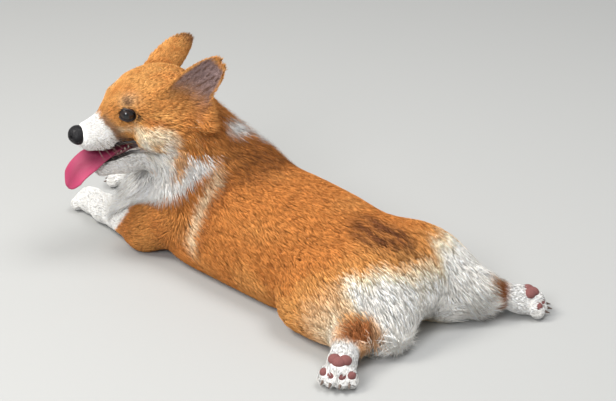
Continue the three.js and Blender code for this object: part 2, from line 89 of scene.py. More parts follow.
# Each kind of coat: how deep it lies over the skin, how long and wide its tufts are, and how many root in a square
# centimetre
coats = {
    "nose": dict(depth=0.3, length=3.0, width=0.5, dense=90),
    "muzzle": dict(depth=1.0, length=5.5, width=0.7, dense=105),
    "face": dict(depth=2.0, length=9.0, width=0.8, dense=90),
    "crown": dict(depth=2.6, length=12.0, width=0.9, dense=72),
    "cheek": dict(depth=5.0, length=24.0, width=1.15, dense=52),
    "jaw": dict(depth=1.8, length=8.0, width=0.8, dense=66),
    "ear": dict(depth=0.6, length=7.0, width=0.8, dense=80),
    "ruff": dict(depth=8.0, length=38.0, width=1.35, dense=36),
    "bib": dict(depth=8.0, length=46.0, width=1.4, dense=36),
    "back": dict(depth=5.0, length=27.0, width=1.1, dense=39),
    "thigh": dict(depth=7.0, length=31.0, width=1.3, dense=33),
    "breeches": dict(depth=11.0, length=46.0, width=1.4, dense=34),
    "arm": dict(depth=3.6, length=17.0, width=1.1, dense=40),
    "leg": dict(depth=2.3, length=9.5, width=0.9, dense=56),
    "foot": dict(depth=1.8, length=7.5, width=0.85, dense=62),
}


def egg(centre, radii, coat, lie):
    return dict(kind="egg", centre=np.array(centre, float), radii=np.array(radii, float), coat=coat, lie=lie)


def rod(a, ra, b, rb, coat, lie=None):
    a, b = np.array(a, float), np.array(b, float)
    return dict(kind="rod", a=a, b=b, ra=ra, rb=rb, coat=coat, lie=b - a if lie is None else lie)


def soft(blend, *shapes):
    return dict(kind="soft", blend=blend, shapes=shapes)


def along(a, b, t):
    a, b = np.array(a, float), np.array(b, float)
    return a + (b - a) * t


def mirrored(make):
    return [make(1), make(-1)]


limbs = [
    dict(
        side=1, shoulder=(64, -128, 66), elbow=(84, -182, 30), wrist=(69, -292, 21), fore_toes=(55, -364, 13),
        hip=(80, 180, 50), stifle=(98, 140, 34), hock=(110, 236, 34), hind_toes=(188, 281, 15), buttock=(60, 240, 30),
    ),
    dict(
        side=-1, shoulder=(-64, -138, 66), elbow=(-78, -202, 30), wrist=(-50, -316, 21), fore_toes=(-26, -396, 13),
        hip=(-80, 192, 50), stifle=(-100, 150, 34), hock=(-90, 280, 34), hind_toes=(-156, 344, 15),
        buttock=(-66, 248, 32),
    ),
]
toe_spread = (-16.5, -6.0, 6.0, 16.5)
toe_slant = 0.45
toe_back = -9


def paw_place(start, toes):
    # Gives places on a paw: how far ahead of the middle of the toes, how far to the side and how high
    heading = np.array(toes, float) - np.array(start, float)
    heading[2] = 0
    heading /= np.linalg.norm(heading)
    sideways = np.array([-heading[1], heading[0], 0])
    ground = np.array([toes[0], toes[1], 0])
    return lambda ahead, aside, height: ground + heading * ahead + sideways * aside + up * height


def toe_places(at, ahead, height):
    # The outer toes lie further back than the two in the middle
    return [at(ahead - abs(s) * toe_slant, s, height) for s in toe_spread]


def paw(start, toes):
    at = paw_place(start, toes)
    heading = at(1, 0, 0) - at(0, 0, 0)
    toe_rods = [
        rod(at(-20, s * 0.8, 15), 11, end, 10, "foot", heading)
        for s, end in zip(toe_spread, toe_places(at, toe_back, 11))
    ]
    return soft(4, rod(at(-36, 0, 19), 18, at(-22, 0, 17), 18, "foot", heading), *toe_rods)


back_lie = np.array([0, 1, -0.35])
trunk = soft(
    40,
    egg((0, -108, 78), (84, 96, 84), "back", back_lie),
    egg((12, -176, 70), (50, 42, 52), "bib", np.array([0.1, -0.3, -1])),
    egg((50, -218, 72), (34, 36, 46), "bib", np.array([0.15, -0.35, -1])),
    egg((0, -5, 67), (100, 145, 75), "back", back_lie),
    egg((0, 110, 60), (94, 110, 66), "back", back_lie),
    egg((0, 195, 58), (94, 81, 64), "thigh", back_lie),
    *mirrored(lambda s: rod((s * 64, -100, 35), 35, (s * 66, 70, 34), 36, "back", back_lie)),
)
neck = rod((2, -112, 102), 76, (30, -158, 172), 63, "ruff", np.array([-0.25, 0.55, -0.8]))
body = [trunk, neck]
feet = []
for limb in limbs:
    s = limb["side"]
    body.append(soft(
        18,
        rod(limb["shoulder"], 40, limb["elbow"], 30, "arm"),
        rod(limb["elbow"], 29, limb["wrist"], 19, "leg"),
    ))
    body.append(soft(
        26,
        egg(limb["hip"], (50, 76, 52 + s * 2), "thigh", np.array([s * 0.25, 1, -0.5])),
        rod(limb["stifle"], 34, limb["hock"], 22, "thigh"),
        egg(limb["buttock"], (48, 46, 44), "breeches", np.array([s * 0.15, 1, -0.4])),
    ))
    for start, toes in ((limb["wrist"], limb["fore_toes"]), (limb["hock"], limb["hind_toes"])):
        rear = start is limb["hock"]
        middle = along(start, toes, 0.55 if rear else 0.5)
        feet.append(soft(10, rod(start, 21 if rear else 19, middle, 16 if rear else 17, "leg"), paw(start, toes)))

# The head's shapes are in its own frame: x ahead to the nose, y to its left, z up
rearward = np.array([-1.0, 0.0, 0.15])
cheek_lie = np.array([-0.8, 0.0, -0.6])
eye_radius = 12.0
eye_centres = [np.array([54.0, s * 25.5, 5.0]) for s in (1, -1)]
skull = soft(
    12,
    egg((2, 0, 8), (62, 54, 48), "crown", rearward),
    rod((32, 0, 6), 40, (54, 0, -1), 29, "face", rearward),
    *mirrored(lambda s: egg((8, s * 35, -24), (42, 35, 33), "cheek", cheek_lie + [0, s * 0.2, 0])),
    *mirrored(lambda s: egg((50, s * 20, 18), (17, 12, 9), "face", rearward + [0, s * 0.3, 0.2])),
    rod((54, 0, -16), 28, (104, 0, -28), 17, "muzzle", np.array([-1.0, 0, -0.1])),
    *mirrored(lambda s: rod((82, s * 9, -35), 15, (102, s * 8, -35), 13, "muzzle", np.array([-1.0, s * 0.2, -0.35]))),
)
jaw = soft(
    14,
    rod((8, 0, -62), 33, (50, 0, -73), 20, "jaw", np.array([-1.0, 0, -0.4])),
    rod((50, 0, -73), 20, (84, 0, -83), 13, "jaw", np.array([-1.0, 0, -0.4])),
)
upper_lip = [(104, 7, -47), (86, 15, -47), (64, 23, -39.5), (44, 32, -36), (25, 38, -41)]
lower_lip = [(90, 8, -72), (70, 13.5, -65), (50, 21, -56.5), (38, 30, -53), (25, 38, -45)]


def lip_rods(row):
    return [
        rod((a[0], s * a[1], a[2]), 2.2, (b[0], s * b[1], b[2]), 2.2, "nose", rearward)
        for a, b in zip(row, row[1:])
        for s in (1, -1)
    ]


lips = soft(2, *lip_rods(upper_lip), *lip_rods(lower_lip))
flesh = soft(14, skull, jaw)

# An ear is a leaf along a curve, cupped towards its own side; s runs from its sunken root to its tip
ear_half_width = 32.0
ear_cup = 15.0
ear_thick, ear_thinning = 2.9, 1.3
ear_paths = {
    1: np.array([[-11, 34, 6], [-23, 43, 28], [-47, 50, 52], [-72, 53, 74]], float),
    -1: np.array([[-12, -34, 6], [-25, -43, 26], [-48, -49, 49], [-69, -52, 69]], float),
}


def through(points, count):
    # A smooth curve through the points, the ends drawn on past the first and the last
    points = np.array(points, float)
    ends = np.vstack([2 * points[0] - points[1], points, 2 * points[-1] - points[-2]])
    t = np.linspace(0, len(points) - 1 - 1e-9, count)
    i = t.astype(int)
    f = (t - i)[:, None]
    p0, p1, p2, p3 = (ends[i + k] for k in range(4))
    return 0.5 * (2 * p1 + (p2 - p0) * f + (2 * p0 - 5 * p1 + 4 * p2 - p3) * f**2 + (3 * p1 - p0 - 3 * p2 + p3) * f**3)


def unit(v):
    return v / np.maximum(np.linalg.norm(v, axis=-1, keepdims=True), 1e-12)


def ear_frame(side, count=64):
    curve = through(ear_paths[side], count)
    tangent = unit(np.gradient(curve, axis=0))
    across = np.array([-0.69, side * 0.22, -0.69])
    wide = unit(across - tangent * (tangent @ across)[:, None])
    return curve, tangent, wide, np.cross(wide, tangent)


def ear_place(side, points):
    # Where points are on an ear: how far along and across it, and how far off its cupped face
    curve, tangent, wide, face = ear_frame(side)
    near = np.argmin(((points[:, None] - curve) ** 2).sum(-1), axis=1)
    off = points - curve[near]
    s = near / (len(curve) - 1)
    half = ear_half_width * np.sqrt(np.clip(s / 0.12, 0.05, 1)) * np.maximum(1 - s**2.7, 0.002) ** 0.5 - 0.5
    thick = ear_thick - ear_thinning * s
    u = (off * wide[near]).sum(-1) / half
    w = (off * face[near]).sum(-1) - side * ear_cup * (1 - 0.75 * s) * u**2
    t = (off * tangent[near]).sum(-1)
    ends = np.where((near == 0) | (near == len(curve) - 1), t / 3, 0)
    return s, u, w, thick, ends


def ear_distance(side, points):
    s, u, w, thick, ends = ear_place(side, points)
    return (np.sqrt(u**2 + (w / thick) ** 2 + ends**2) - 1) * thick


def soft_min(a, b, blend):
    h = np.maximum(blend - abs(a - b), 0) / blend
    return np.minimum(a, b) - h * h * blend * 0.25


def distance(shape, points, thinned=True):
    # Roughly the distance from a shape's surface, negative inside
    kind = shape["kind"]
    if kind == "soft":
        found = distance(shape["shapes"][0], points, thinned)
        for one in shape["shapes"][1:]:
            found = soft_min(found, distance(one, points, thinned), shape["blend"])
        return found
    thin = coats[shape["coat"]]["depth"] if thinned else 0
    if kind == "egg":
        q = (points - shape["centre"]) / (shape["radii"] - thin)
        near = np.sqrt((q**2).sum(-1))
        slope = np.sqrt(((q / (shape["radii"] - thin)) ** 2).sum(-1))
        return near * (near - 1) / np.maximum(slope, 1e-9)
    run = shape["b"] - shape["a"]
    off = points - shape["a"]
    t = np.clip(off @ run / (run @ run), 0, 1)
    return np.sqrt(((off - t[:, None] * run) ** 2).sum(-1)) - (shape["ra"] + (shape["rb"] - shape["ra"]) * t - thin)


def mouth_opening(q):
    # Negative in the gap between the upper lip and the jaw, which leaves a solid wall in the middle
    x, y, z = q.T
    below_lip = z + 36 + np.clip((x - 38) / 22, 0, 1) * 4 + np.clip((x - 60) / 25, 0, 1) * 8.5
    above_jaw = -55 - 0.43 * np.maximum(x - 50, 0) + 0.25 * np.maximum(50 - x, 0) - z
    inside_wall = np.clip((74 - x) * 0.36, -5, 14) - abs(y)
    return np.maximum.reduce([below_lip, above_jaw, 25 - x, inside_wall])


limb_blend, head_blend, foot_blend, ear_blend, lip_blend = 30, 22, 14, 6, 3
socket_gap = 0.2
ear_reach = 62
belly_gap = 1.5


def head_distance(points):
    q = in_head(points)
    d = np.maximum(distance(flesh, q), -mouth_opening(q))
    d = soft_min(d, distance(lips, q, False), lip_blend)
    for centre in eye_centres:
        d = np.maximum(d, eye_radius + socket_gap - np.linalg.norm(q - centre, axis=1))
    for side in (1, -1):
        near = np.linalg.norm(q - [-45, side * 48, 40], axis=1) < ear_reach
        if near.any():
            d[near] = soft_min(d[near], ear_distance(side, q[near]), ear_blend)
    return d


def dog_distance(points):
    d = distance(body[0], points)
    for one in body[1:]:
        d = soft_min(d, distance(one, points), limb_blend)
    d = soft_min(d, head_distance(points), head_blend)
    for one in feet:
        d = soft_min(d, distance(one, points), foot_blend)
    return np.maximum(d, belly_gap - points[:, 2])


def surface(low, high, cell, shape):
    # The closed surface where shape is zero, found on a coarse grid first and then on a fine one near it
    low, high = np.array(low, float), np.array(high, float)
    step = 4
    most_at_once = 200_000
    coarse_count = np.ceil((high - low) / (cell * step)).astype(int) + 1
    axes = [low[i] + np.arange(coarse_count[i]) * cell * step + cell * (step - 1) / 2 for i in range(3)]
    coarse = shape(np.stack(np.meshgrid(*axes, indexing="ij"), -1).reshape(-1, 3)).reshape(coarse_count)
    values = coarse.repeat(step, 0).repeat(step, 1).repeat(step, 2).astype(np.float32)
    near = np.argwhere(abs(values) < cell * step * 1.4 + 5)
    for part in np.array_split(near, max(1, len(near) // most_at_once)):
        values[tuple(part.T)] = shape(low + part * cell)
    grid = openvdb.FloatGrid(background=9.0)
    grid.copyFromArray(values)
    points, _, quads = grid.convertToPolygons(isovalue=0.0, adaptivity=0.0)
    points = np.array(points, float) * cell + low
    quads = np.array(quads, int)
    a, b, c = points[quads[:, 0]], points[quads[:, 1]], points[quads[:, 2]]
    if (np.cross(b - a, c - a) * a).sum() < 0:
        quads = quads[:, ::-1]
    return points, quads


def make_mesh(name, points, faces):
    mesh = bpy.data.meshes.new(name)
    sides = faces.shape[1]
    mesh.vertices.add(len(points))
    mesh.vertices.foreach_set("co", (np.asarray(points) / 1000).astype(np.float32).ravel())
    mesh.loops.add(faces.size)
    mesh.loops.foreach_set("vertex_index", faces.astype(np.int32).ravel())
    mesh.polygons.add(len(faces))
    mesh.polygons.foreach_set("loop_start", np.arange(0, faces.size, sides, dtype=np.int32))
    mesh.polygons.foreach_set("use_smooth", np.ones(len(faces), bool))
    mesh.update(calc_edges=True)
    piece = bpy.data.objects.new(name, mesh)
    bpy.context.scene.collection.objects.link(piece)
    return piece


def paint(piece, name, colours):
    layer = piece.data.color_attributes.new(name, "FLOAT_COLOR", "POINT")
    rgba = np.ones((len(piece.data.vertices), 4), np.float32)
    rgba[:, :3] = colours
    layer.data.foreach_set("color", rgba.ravel())


def smooth(a, b, x):
    t = np.clip((x - a) / (b - a), 0, 1)
    return t * t * (3 - 2 * t)


def shade(r, g, b):
    c = np.array([r, g, b]) / 255
    return np.where(c < 0.04045, c / 12.92, ((c + 0.055) / 1.055) ** 2.4)


def mix(a, b, t):
    return a + (b - a) * np.asarray(t)[..., None]


def ripple(points, size, seed):
    # A smooth random value between about -1 and 1, for streaks and soft edges
    rng = np.random.default_rng(seed)
    ways = rng.normal(size=(7, 3))
    ways /= np.linalg.norm(ways, axis=1, keepdims=True)
    scale = rng.uniform(0.6, 1.9, 7) * 2 * math.pi / size
    return np.sin((points @ ways.T) * scale + rng.uniform(0, 6.28, 7)).sum(1) / 3.5


golden = shade(224, 162, 92)
russet = shade(204, 130, 64)
deep = shade(158, 88, 40)
tail_brown = shade(108, 62, 34)
sable = shade(92, 60, 44)
cream = shade(250, 228, 192)
white = shade(252, 249, 244)
dusk = shade(134, 104, 86)
ear_grey = shade(158, 134, 130)
lip_black = shade(30, 23, 24)
mouth_red = shade(96, 36, 42)

leaves = []


def gather(shape, in_head_frame=False):
    if shape["kind"] == "soft":
        for one in shape["shapes"]:
            gather(one, in_head_frame)
    else:
        leaves.append((shape, in_head_frame))


for one in body + feet:
    gather(one)
gather(flesh, True)
leaf_on_head = np.array([own for _, own in leaves])
leaf_reach = 6
ear_setback = 1.0


def leaf_weights(points):
    # How much each shape counts at each point, the two ears last
    q = in_head(points)
    d = np.stack([distance(shape, q if own else points, False) for shape, own in leaves], 1)
    ears = np.stack([ear_distance(side, q) for side in (1, -1)], 1)
    d = np.concatenate([d, ears + ear_setback], 1)
    w = np.exp(-(d - d.min(1, keepdims=True)) / leaf_reach)
    return w / w.sum(1, keepdims=True)


def head_and_ear_shares(weights):
    return weights[:, :-2][:, leaf_on_head].sum(1), weights[:, -2:].sum(1)


cheek_patch = soft(
    5,
    rod((68, 27, -17), 1.5, (50, 38, -15), 4.5, "nose"),
    rod((50, 38, -15), 4.5, (34, 56, -13), 8, "nose"),
    rod((34, 56, -13), 8, (20, 66, -15), 9.5, "nose"),
    rod((20, 66, -15), 8, (20, 60, -40), 11, "nose"),
    rod((20, 60, -40), 11, (30, 40, -58), 15, "nose"),
    rod((40, 46, -20), 8, (34, 42, -46), 13, "nose"),
)
collar_height = [0, 10, 36, 66, 86, 106, 125, 141, 155, 170, 178, 190]
collar_y = [-240, -235, -209, -188, -160, -133, -112, -99, -92, -93, -120, -260]
hip_width = [0, 30, 52, 74, 94, 110, 120, 135]
hip_y = [246, 230, 214, 200, 190, 163, 139, 126]


def body_colour(p):
    x, y, z = p.T
    ax = abs(x)
    wave = ripple(p, 60, 1) * 9 + ripple(p, 16, 2) * 4
    streak = ripple(p * [1, 0.35, 1], 9, 3)
    colour = mix(russet, golden, smooth(-0.3, 1.0, ripple(p, 130, 4)) * 0.5)
    colour = mix(colour, deep, smooth(0.2, 1.1, streak) * 0.35)
    # Darker tips over the withers and nape
    withers = np.exp(-((ax / 58) ** 2) - ((y + 62) / 46) ** 2) * smooth(100, 150, z)
    colour = mix(colour, sable, withers * smooth(-0.5, 0.8, streak) * 0.6)
    # The pale stripe behind the shoulder, with a darker one after it
    pale = np.exp(-(((y + 80 + wave * 0.4) / 9) ** 2))
    pale = pale * smooth(30, 60, z) * smooth(172, 150, z) * smooth(40, 58, ax)
    colour = mix(colour, cream, pale * 0.72)
    dark = np.exp(-(((y + 60 + wave * 0.4) / 9) ** 2))
    dark = dark * smooth(25, 60, z) * smooth(165, 130, z) * smooth(35, 60, ax)
    colour = mix(colour, deep, dark * 0.5)
    # The dark patch that runs down the back to the tail
    patch = ((x - 8) / 32) ** 2 + ((y - 180 + wave) / 66) ** 2
    patch_streaks = smooth(-0.9, 0.6, ripple(p * [1, 0.3, 1], 11, 16))
    colour = mix(colour, tail_brown, smooth(1.25, 0.4, patch) * smooth(75, 105, z) * (0.35 + 0.6 * patch_streaks))
    # Cream and white breeches, from a soft edge over the hips
    past = y - np.interp(ax, hip_width, hip_y) + wave * 0.9
    past = np.maximum(past, y - 215 - 300 * smooth(60, 90, z))
    flank_side = smooth(88, 112, ax)
    colour = mix(colour, golden, smooth(-46, -8, past) * 0.6)
    colour = mix(colour, cream, smooth(-14 + 12 * flank_side, 14 + 80 * flank_side, past))
    colour = mix(colour, white, smooth(4 + 45 * flank_side, 30 + 95 * flank_side, past) * 0.9)
    # Russet rings round both hocks, deepest against the white of the foot
    for centre, reach in (((114, 240, 46), 33), ((-94, 300, 40), 32)):
        ring = np.linalg.norm((p - centre) * [1, 1, 0.7], axis=1) + wave * 0.3
        colour = mix(colour, golden, smooth(reach, reach - 12, ring) * 0.8)
        colour = mix(colour, deep, smooth(reach - 8, reach - 20, ring) * 0.9)
    for limb in limbs:
        start, toes = np.array(limb["hock"], float), np.array(limb["hind_toes"], float)
        t = ((p - start) @ (toes - start)) / ((toes - start) @ (toes - start))
        off = np.linalg.norm(p - start - t[:, None] * (toes - start), axis=1)
        foot = smooth(0.17, 0.36, t + wave * 0.004) * smooth(60, 40, off)
        colour = mix(colour, white, foot)
    # White collar, bib and forelegs
    front = np.interp(z, collar_height, collar_y) - y + wave * 0.5
    colour = mix(colour, white, smooth(-4, 7, front))
    nape = np.linalg.norm((p - [-8, -108, 196]) / [26, 17, 22], axis=1)
    colour = mix(colour, white, smooth(1.1, 0.6, nape + ripple(p, 12, 5) * 0.15))
    return mix(colour, cream, smooth(58, 30, ax) * smooth(26, 12, z) * smooth(240, 200, y) * smooth(-220, -190, y))


def head_colour(p):
    q = in_head(p)
    x, ay, z = to_left(q).T
    wave = ripple(p, 34, 6) * 3 + ripple(p, 9, 7) * 1.5
    colour = mix(golden, russet, smooth(-0.6, 1.0, ripple(q * [0.5, 1, 1], 22, 8)) * 0.55)
    # Orange sides of the face and behind the cheek, paler over the brow
    colour = mix(colour, russet, smooth(20, -20, x) * smooth(20, -10, z) * 0.6)
    colour = mix(colour, cream, np.exp(-(((x - 58) / 16) ** 2) - ((ay - 26) / 9) ** 2 - ((z - 24) / 8) ** 2) * 0.3)
    # The cream patch from under the eye back over the cheek and down behind the mouth, with a dark line over it
    patch = distance(cheek_patch, to_left(q), False) + wave * 0.8
    colour = mix(colour, cream, smooth(6, -3, patch) * 0.92)
    colour = mix(colour, white, smooth(0, -9, patch) * smooth(-6, -30, z) * 0.7)
    line = abs(z - 1 + (44 - x) * 0.12 + wave * 0.3)
    colour = mix(colour, deep, smooth(5, 1, line) * smooth(46, 38, x) * smooth(8, 24, x) * 0.6)
    # Dusky fur between the orange and the white of the muzzle, and along the lip
    behind = 93.5 + np.minimum(0, z + 2) * 0.76 + wave * 0.5
    side = smooth(8, -4, z) * smooth(4, 12, ay)
    colour = mix(colour, dusk, smooth(behind - 20, behind - 5, x) * side * smooth(-54, -34, z) * 0.8)
    colour = mix(colour, dusk, np.exp(-(((z + 36 + (60 - x) * 0.06) / 4.5) ** 2)) * smooth(30, 42, x) * 0.7)
    # White muzzle, with a narrow wedge up the bridge
    colour = mix(colour, white, smooth(behind - 3, behind + 3, x))
    wedge = 5.5 - (92 - x) * 0.16 - ay + wave * 0.2
    colour = mix(colour, white, smooth(-1.5, 1.5, wedge) * smooth(84, 94, x) * smooth(-12, -4, z))
    # White chin and throat, with orange hair hanging over it from the cheek
    chin = z + np.maximum(20 - x, 0) * 0.3 + wave
    strands = smooth(0.0, 0.8, ripple(q * [1, 1, 0.22], 10, 17)) * smooth(34, 18, x) * smooth(-112, -92, z)
    colour = mix(colour, white, smooth(-48, -58, chin) * (1 - strands * 0.75))
    # Brow spots and the black rims of the eyes
    for centre in eye_centres:
        d = np.linalg.norm((q - centre - [5, 0, 17]) * [1, 0.7, 1.2], axis=1)
        colour = mix(colour, shade(84, 50, 36), smooth(7.5, 3, d) * 0.7)
        rim = np.linalg.norm((q - centre) * [0.95, 0.9, 1.18], axis=1)
        colour = mix(colour, lip_black, smooth(eye_radius + 2.4, eye_radius + 0.6, rim))
    # Lips and the inside of the mouth
    lip = distance(lips, q, False)
    colour = mix(colour, lip_black, smooth(2.0, 0.4, lip))
    opening = mouth_opening(q)
    inside = smooth(1.6, 0.4, opening) * smooth(24, 27, x)
    return mix(colour, mouth_red * 0.6, inside * smooth(0.0, 1.2, lip))


def ear_colour(p):
    # Tan outside and round the rim, grey-mauve and streaked inside, dark at the base; the back of the right ear has
    # painted shade towards its tip
    q = in_head(p)
    left = q[:, 1] > 0
    s, u, w = (np.where(left, a, b) for a, b in zip(ear_place(1, q)[:3], ear_place(-1, q)[:3]))
    inner = smooth(-0.3, 0.5, np.where(left, w, -w)) * smooth(0.93, 0.72, abs(u)) * smooth(0.94, 0.84, s)
    back = mix(golden, russet, smooth(-0.4, 1, ripple(p, 18, 9)) * 0.6)
    # Painted shade: the back of the right ear alone goes dark sable towards its tip
    back = mix(back, sable, smooth(0.72, 0.98, s) * ~left * 0.75)
    cup = mix(ear_grey, sable, smooth(-0.1, 1.0, ripple(q * [0.4, 1, 0.4], 3.6, 10)) * 0.7)
    cup = mix(cup, shade(84, 44, 40), smooth(0.42, 0.2, s) * 0.8)
    return mix(back, cup, inner)


# Long orange hair hangs from the ear down the cheek, over the white of the throat, with a few pale wisps by the ear
cheek_hair = soft(
    5,
    rod((-14, 76, -6), 9, (2, 77, -38), 9, "nose"),
    rod((2, 77, -38), 9, (16, 60, -76), 7, "nose"),
    rod((16, 60, -76), 7, (25, 44, -98), 4, "nose"),
)
ear_wisps = rod((-24, 62, 8), 5, (-16, 74, -20), 4, "nose")


def coat_colour(points):
    head_share, ear_share = head_and_ear_shares(leaf_weights(points))
    rest = np.maximum(1 - head_share - ear_share, 0)
    colour = (
        body_colour(points) * rest[:, None]
        + head_colour(points) * head_share[:, None]
        + ear_colour(points) * ear_share[:, None]
    )
    q = to_left(in_head(points))
    strand = ripple(q * [1, 1, 0.25], 11, 18)
    hanging = smooth(5, -3, distance(cheek_hair, q, False) + strand * 4)
    colour = mix(colour, mix(golden, russet, smooth(-0.6, 0.6, strand)), hanging * 0.85)
    wisps = smooth(3, -2, distance(ear_wisps, q, False)) * smooth(0, 0.7, ripple(q * [1, 1, 0.3], 6, 19))
    return mix(colour, cream, wisps * (1 - ear_share) * 0.8)


def normals_of(points, faces):
    a, b, c, d = (points[faces[:, k]] for k in range(4))
    face = np.cross(c - a, d - b)
    total = np.zeros_like(points)
    for k in range(4):
        for axis in range(3):
            total[:, axis] += np.bincount(faces[:, k], face[:, axis], len(points))
    return unit(total)


# The head's skin is cut finer than the body's. The two overlap inside the neck.
head_cell, body_cell = 1.7, 3.45
neck_overlap = 22
neck_cut = on_head(-46, 10, -62)
neck_way = unit(head_way(-0.55, 0.3, -0.78))


def past_neck(points):
    return (points - neck_cut) @ neck_way


def head_part(points):
    return np.maximum(dog_distance(points), past_neck(points))


def body_part(points):
    return np.maximum(dog_distance(points), -(past_neck(points) + neck_overlap))


head_points, head_faces = surface(head_centre - 125, head_centre + 128, head_cell, head_part)
body_points, body_faces = surface((-185, -425, -12), (210, 375, 236), body_cell, body_part)
skin_points = np.concatenate([body_points, head_points])
skin_faces = np.concatenate([body_faces, head_faces + len(body_points)])
skin_normals = normals_of(skin_points, skin_faces)
skin = make_mesh("skin", skin_points, skin_faces)
paint(skin, "coat", coat_colour(skin_points))


def set_sockets(tree, node, sockets):
    # Links a socket where its value is another node's output, and sets it where it is a plain value
    for key, value in sockets.items():
        if isinstance(value, bpy.types.NodeSocket):
            tree.links.new(value, node.inputs[key])
        else:
            node.inputs[key].default_value = value


def add_node(tree, kind, sockets=None, **settings):
    node = tree.nodes.new(kind)
    for key, value in settings.items():
        setattr(node, key, value)
    set_sockets(tree, node, sockets or {})
    return node


def principled(name, roughness, **sockets):
    material = bpy.data.materials.new(name)
    material.use_nodes = True
    tree = material.node_tree
    shader = tree.nodes["Principled BSDF"]
    set_sockets(tree, shader, {"Roughness": roughness})
    set_sockets(tree, shader, {key.replace("_", " "): value for key, value in sockets.items()})
    return material, tree, shader


def painted(tree, name):
    return add_node(tree, "ShaderNodeAttribute", attribute_name=name).outputs["Color"]


def add_bump(tree, shader, height, strength, reach):
    bump = add_node(tree, "ShaderNodeBump", {"Height": height, "Strength": strength, "Distance": reach})
    set_sockets(tree, shader, {"Normal": bump.outputs["Normal"]})


# Fine streaks of lighter and darker hair, used by the skin and by every tuft
streaks = bpy.data.node_groups.new("hair streaks", "ShaderNodeTree")
for socket_name, kind, way in (
    ("Color", "Color", "INPUT"), ("Scale", "Float", "INPUT"), ("Strength", "Float", "INPUT"),
    ("Color", "Color", "OUTPUT"), ("Height", "Float", "OUTPUT"),
):
    streaks.interface.new_socket(socket_name, in_out=way, socket_type="NodeSocket" + kind)
given = add_node(streaks, "NodeGroupInput").outputs
hair_place = add_node(streaks, "ShaderNodeTexCoord").outputs["Object"]
hair_noise = add_node(streaks, "ShaderNodeTexNoise", {"Vector": hair_place, "Scale": given["Scale"], "Detail": 5})
darkest = add_node(streaks, "ShaderNodeMath", {0: 1, 1: given["Strength"]}, operation="SUBTRACT")
lightest = add_node(streaks, "ShaderNodeMath", {0: 1, 1: given["Strength"]}, operation="ADD")
streak_tone = add_node(streaks, "ShaderNodeMapRange", {
    "Value": hair_noise.outputs["Fac"], "From Min": 0.3, "From Max": 0.7,
    "To Min": darkest.outputs[0], "To Max": lightest.outputs[0],
})
tint = add_node(streaks, "ShaderNodeHueSaturation", {"Value": streak_tone.outputs[0], "Color": given["Color"]})
add_node(streaks, "NodeGroupOutput", {"Color": tint.outputs[0], "Height": hair_noise.outputs["Fac"]})


def hair_material(name, roughness, scale, strength, bump, **sockets):
    material, tree, shader = principled(name, roughness, **sockets)
    hair = add_node(
        tree, "ShaderNodeGroup", {"Color": painted(tree, "coat"), "Scale": scale, "Strength": strength},
        node_tree=streaks,
    )
    set_sockets(tree, shader, {"Base Color": hair.outputs["Color"]})
    if bump:
        add_bump(tree, shader, hair.outputs["Height"], 0.5, bump)
    return material


skin.data.materials.append(
    hair_material("short undercoat", 0.8, 420, 0.22, 0.0012, Specular_IOR_Level=0.25)
)
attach(skin, "root")
flesh_nodes = ["torso", "neck", "head", "lower_jaw", "tail"]
flesh_nodes += [
    f"{part}_{side}"
    for part in ("ear", "upper_arm", "forearm", "fore_paw", "thigh", "hock", "hind_paw")
    for side in ("left", "right")
]
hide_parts(*flesh_nodes)

# The coat: a hundred thousand and more thin, closed tufts that root in the skin and lie back along the body, long on
# the ruff, bib and breeches and shortest on the face and feet. Each is a three-sided blade that bends back down.
rng = np.random.default_rng(11)
a, b, c, d = (skin_points[skin_faces[:, k]] for k in range(4))
face_area = 0.5 * np.linalg.norm(np.cross(c - a, d - b), axis=1) / 100
face_centre = (a + b + c + d) / 4
face_weights = leaf_weights(face_centre)
coat_names = [shape["coat"] for shape, _ in leaves] + ["ear", "ear"]
face_density = face_weights @ np.array([coats[n]["dense"] for n in coat_names], float)
face_q = in_head(face_centre)
mouth_near = mouth_opening(face_q)
bare = (face_centre[:, 2] < 4) | ((mouth_near < 1.5) & (face_q[:, 0] > 22)) | (distance(lips, face_q, False) < 1.2)
for centre in eye_centres:
    bare |= np.linalg.norm((face_q - centre) * [1, 1, 1.15], axis=1) < eye_radius + 1.6
bare |= np.linalg.norm((face_q - [118, 0, -27]) / [14, 16, 14], axis=1) < 1.02
for limb in limbs:
    at = paw_place(limb["hock"], limb["hind_toes"])
    for centre, reach in [(place, 6.5) for place in toe_places(at, toe_back, 20)] + [(at(-27, 0, 33), 12.5)]:
        bare |= np.linalg.norm(face_centre - centre, axis=1) < reach
head_side = np.arange(len(skin_faces)) >= len(body_faces)
bare |= np.where(head_side, past_neck(face_centre) > -8, past_neck(face_centre) < -10)
chance = face_area * face_density * ~bare
count = int(chance.sum())
pick = np.sort(rng.choice(len(chance), count, p=chance / chance.sum()))
fu, fv = rng.random((2, count, 1))
root = (a[pick] * (1 - fu) + b[pick] * fu) * (1 - fv) + (d[pick] * (1 - fu) + c[pick] * fu) * fv
n0, n1, n2, n3 = (skin_normals[skin_faces[pick, k]] for k in range(4))
out = unit((n0 * (1 - fu) + n1 * fu) * (1 - fv) + (n3 * (1 - fu) + n2 * fu) * fv)

weights = leaf_weights(root)
leaf_ways = [unit(head_way(*shape["lie"]) if own else np.array(shape["lie"], float)) for shape, own in leaves]
ear_ways = [unit(on_head(*ear_paths[s][-1]) - on_head(*ear_paths[s][0])) for s in (1, -1)]
lie = weights @ np.array(leaf_ways + ear_ways)
length, width, depth = (weights @ np.array([coats[n][key] for n in coat_names]) for key in ("length", "width", "depth"))
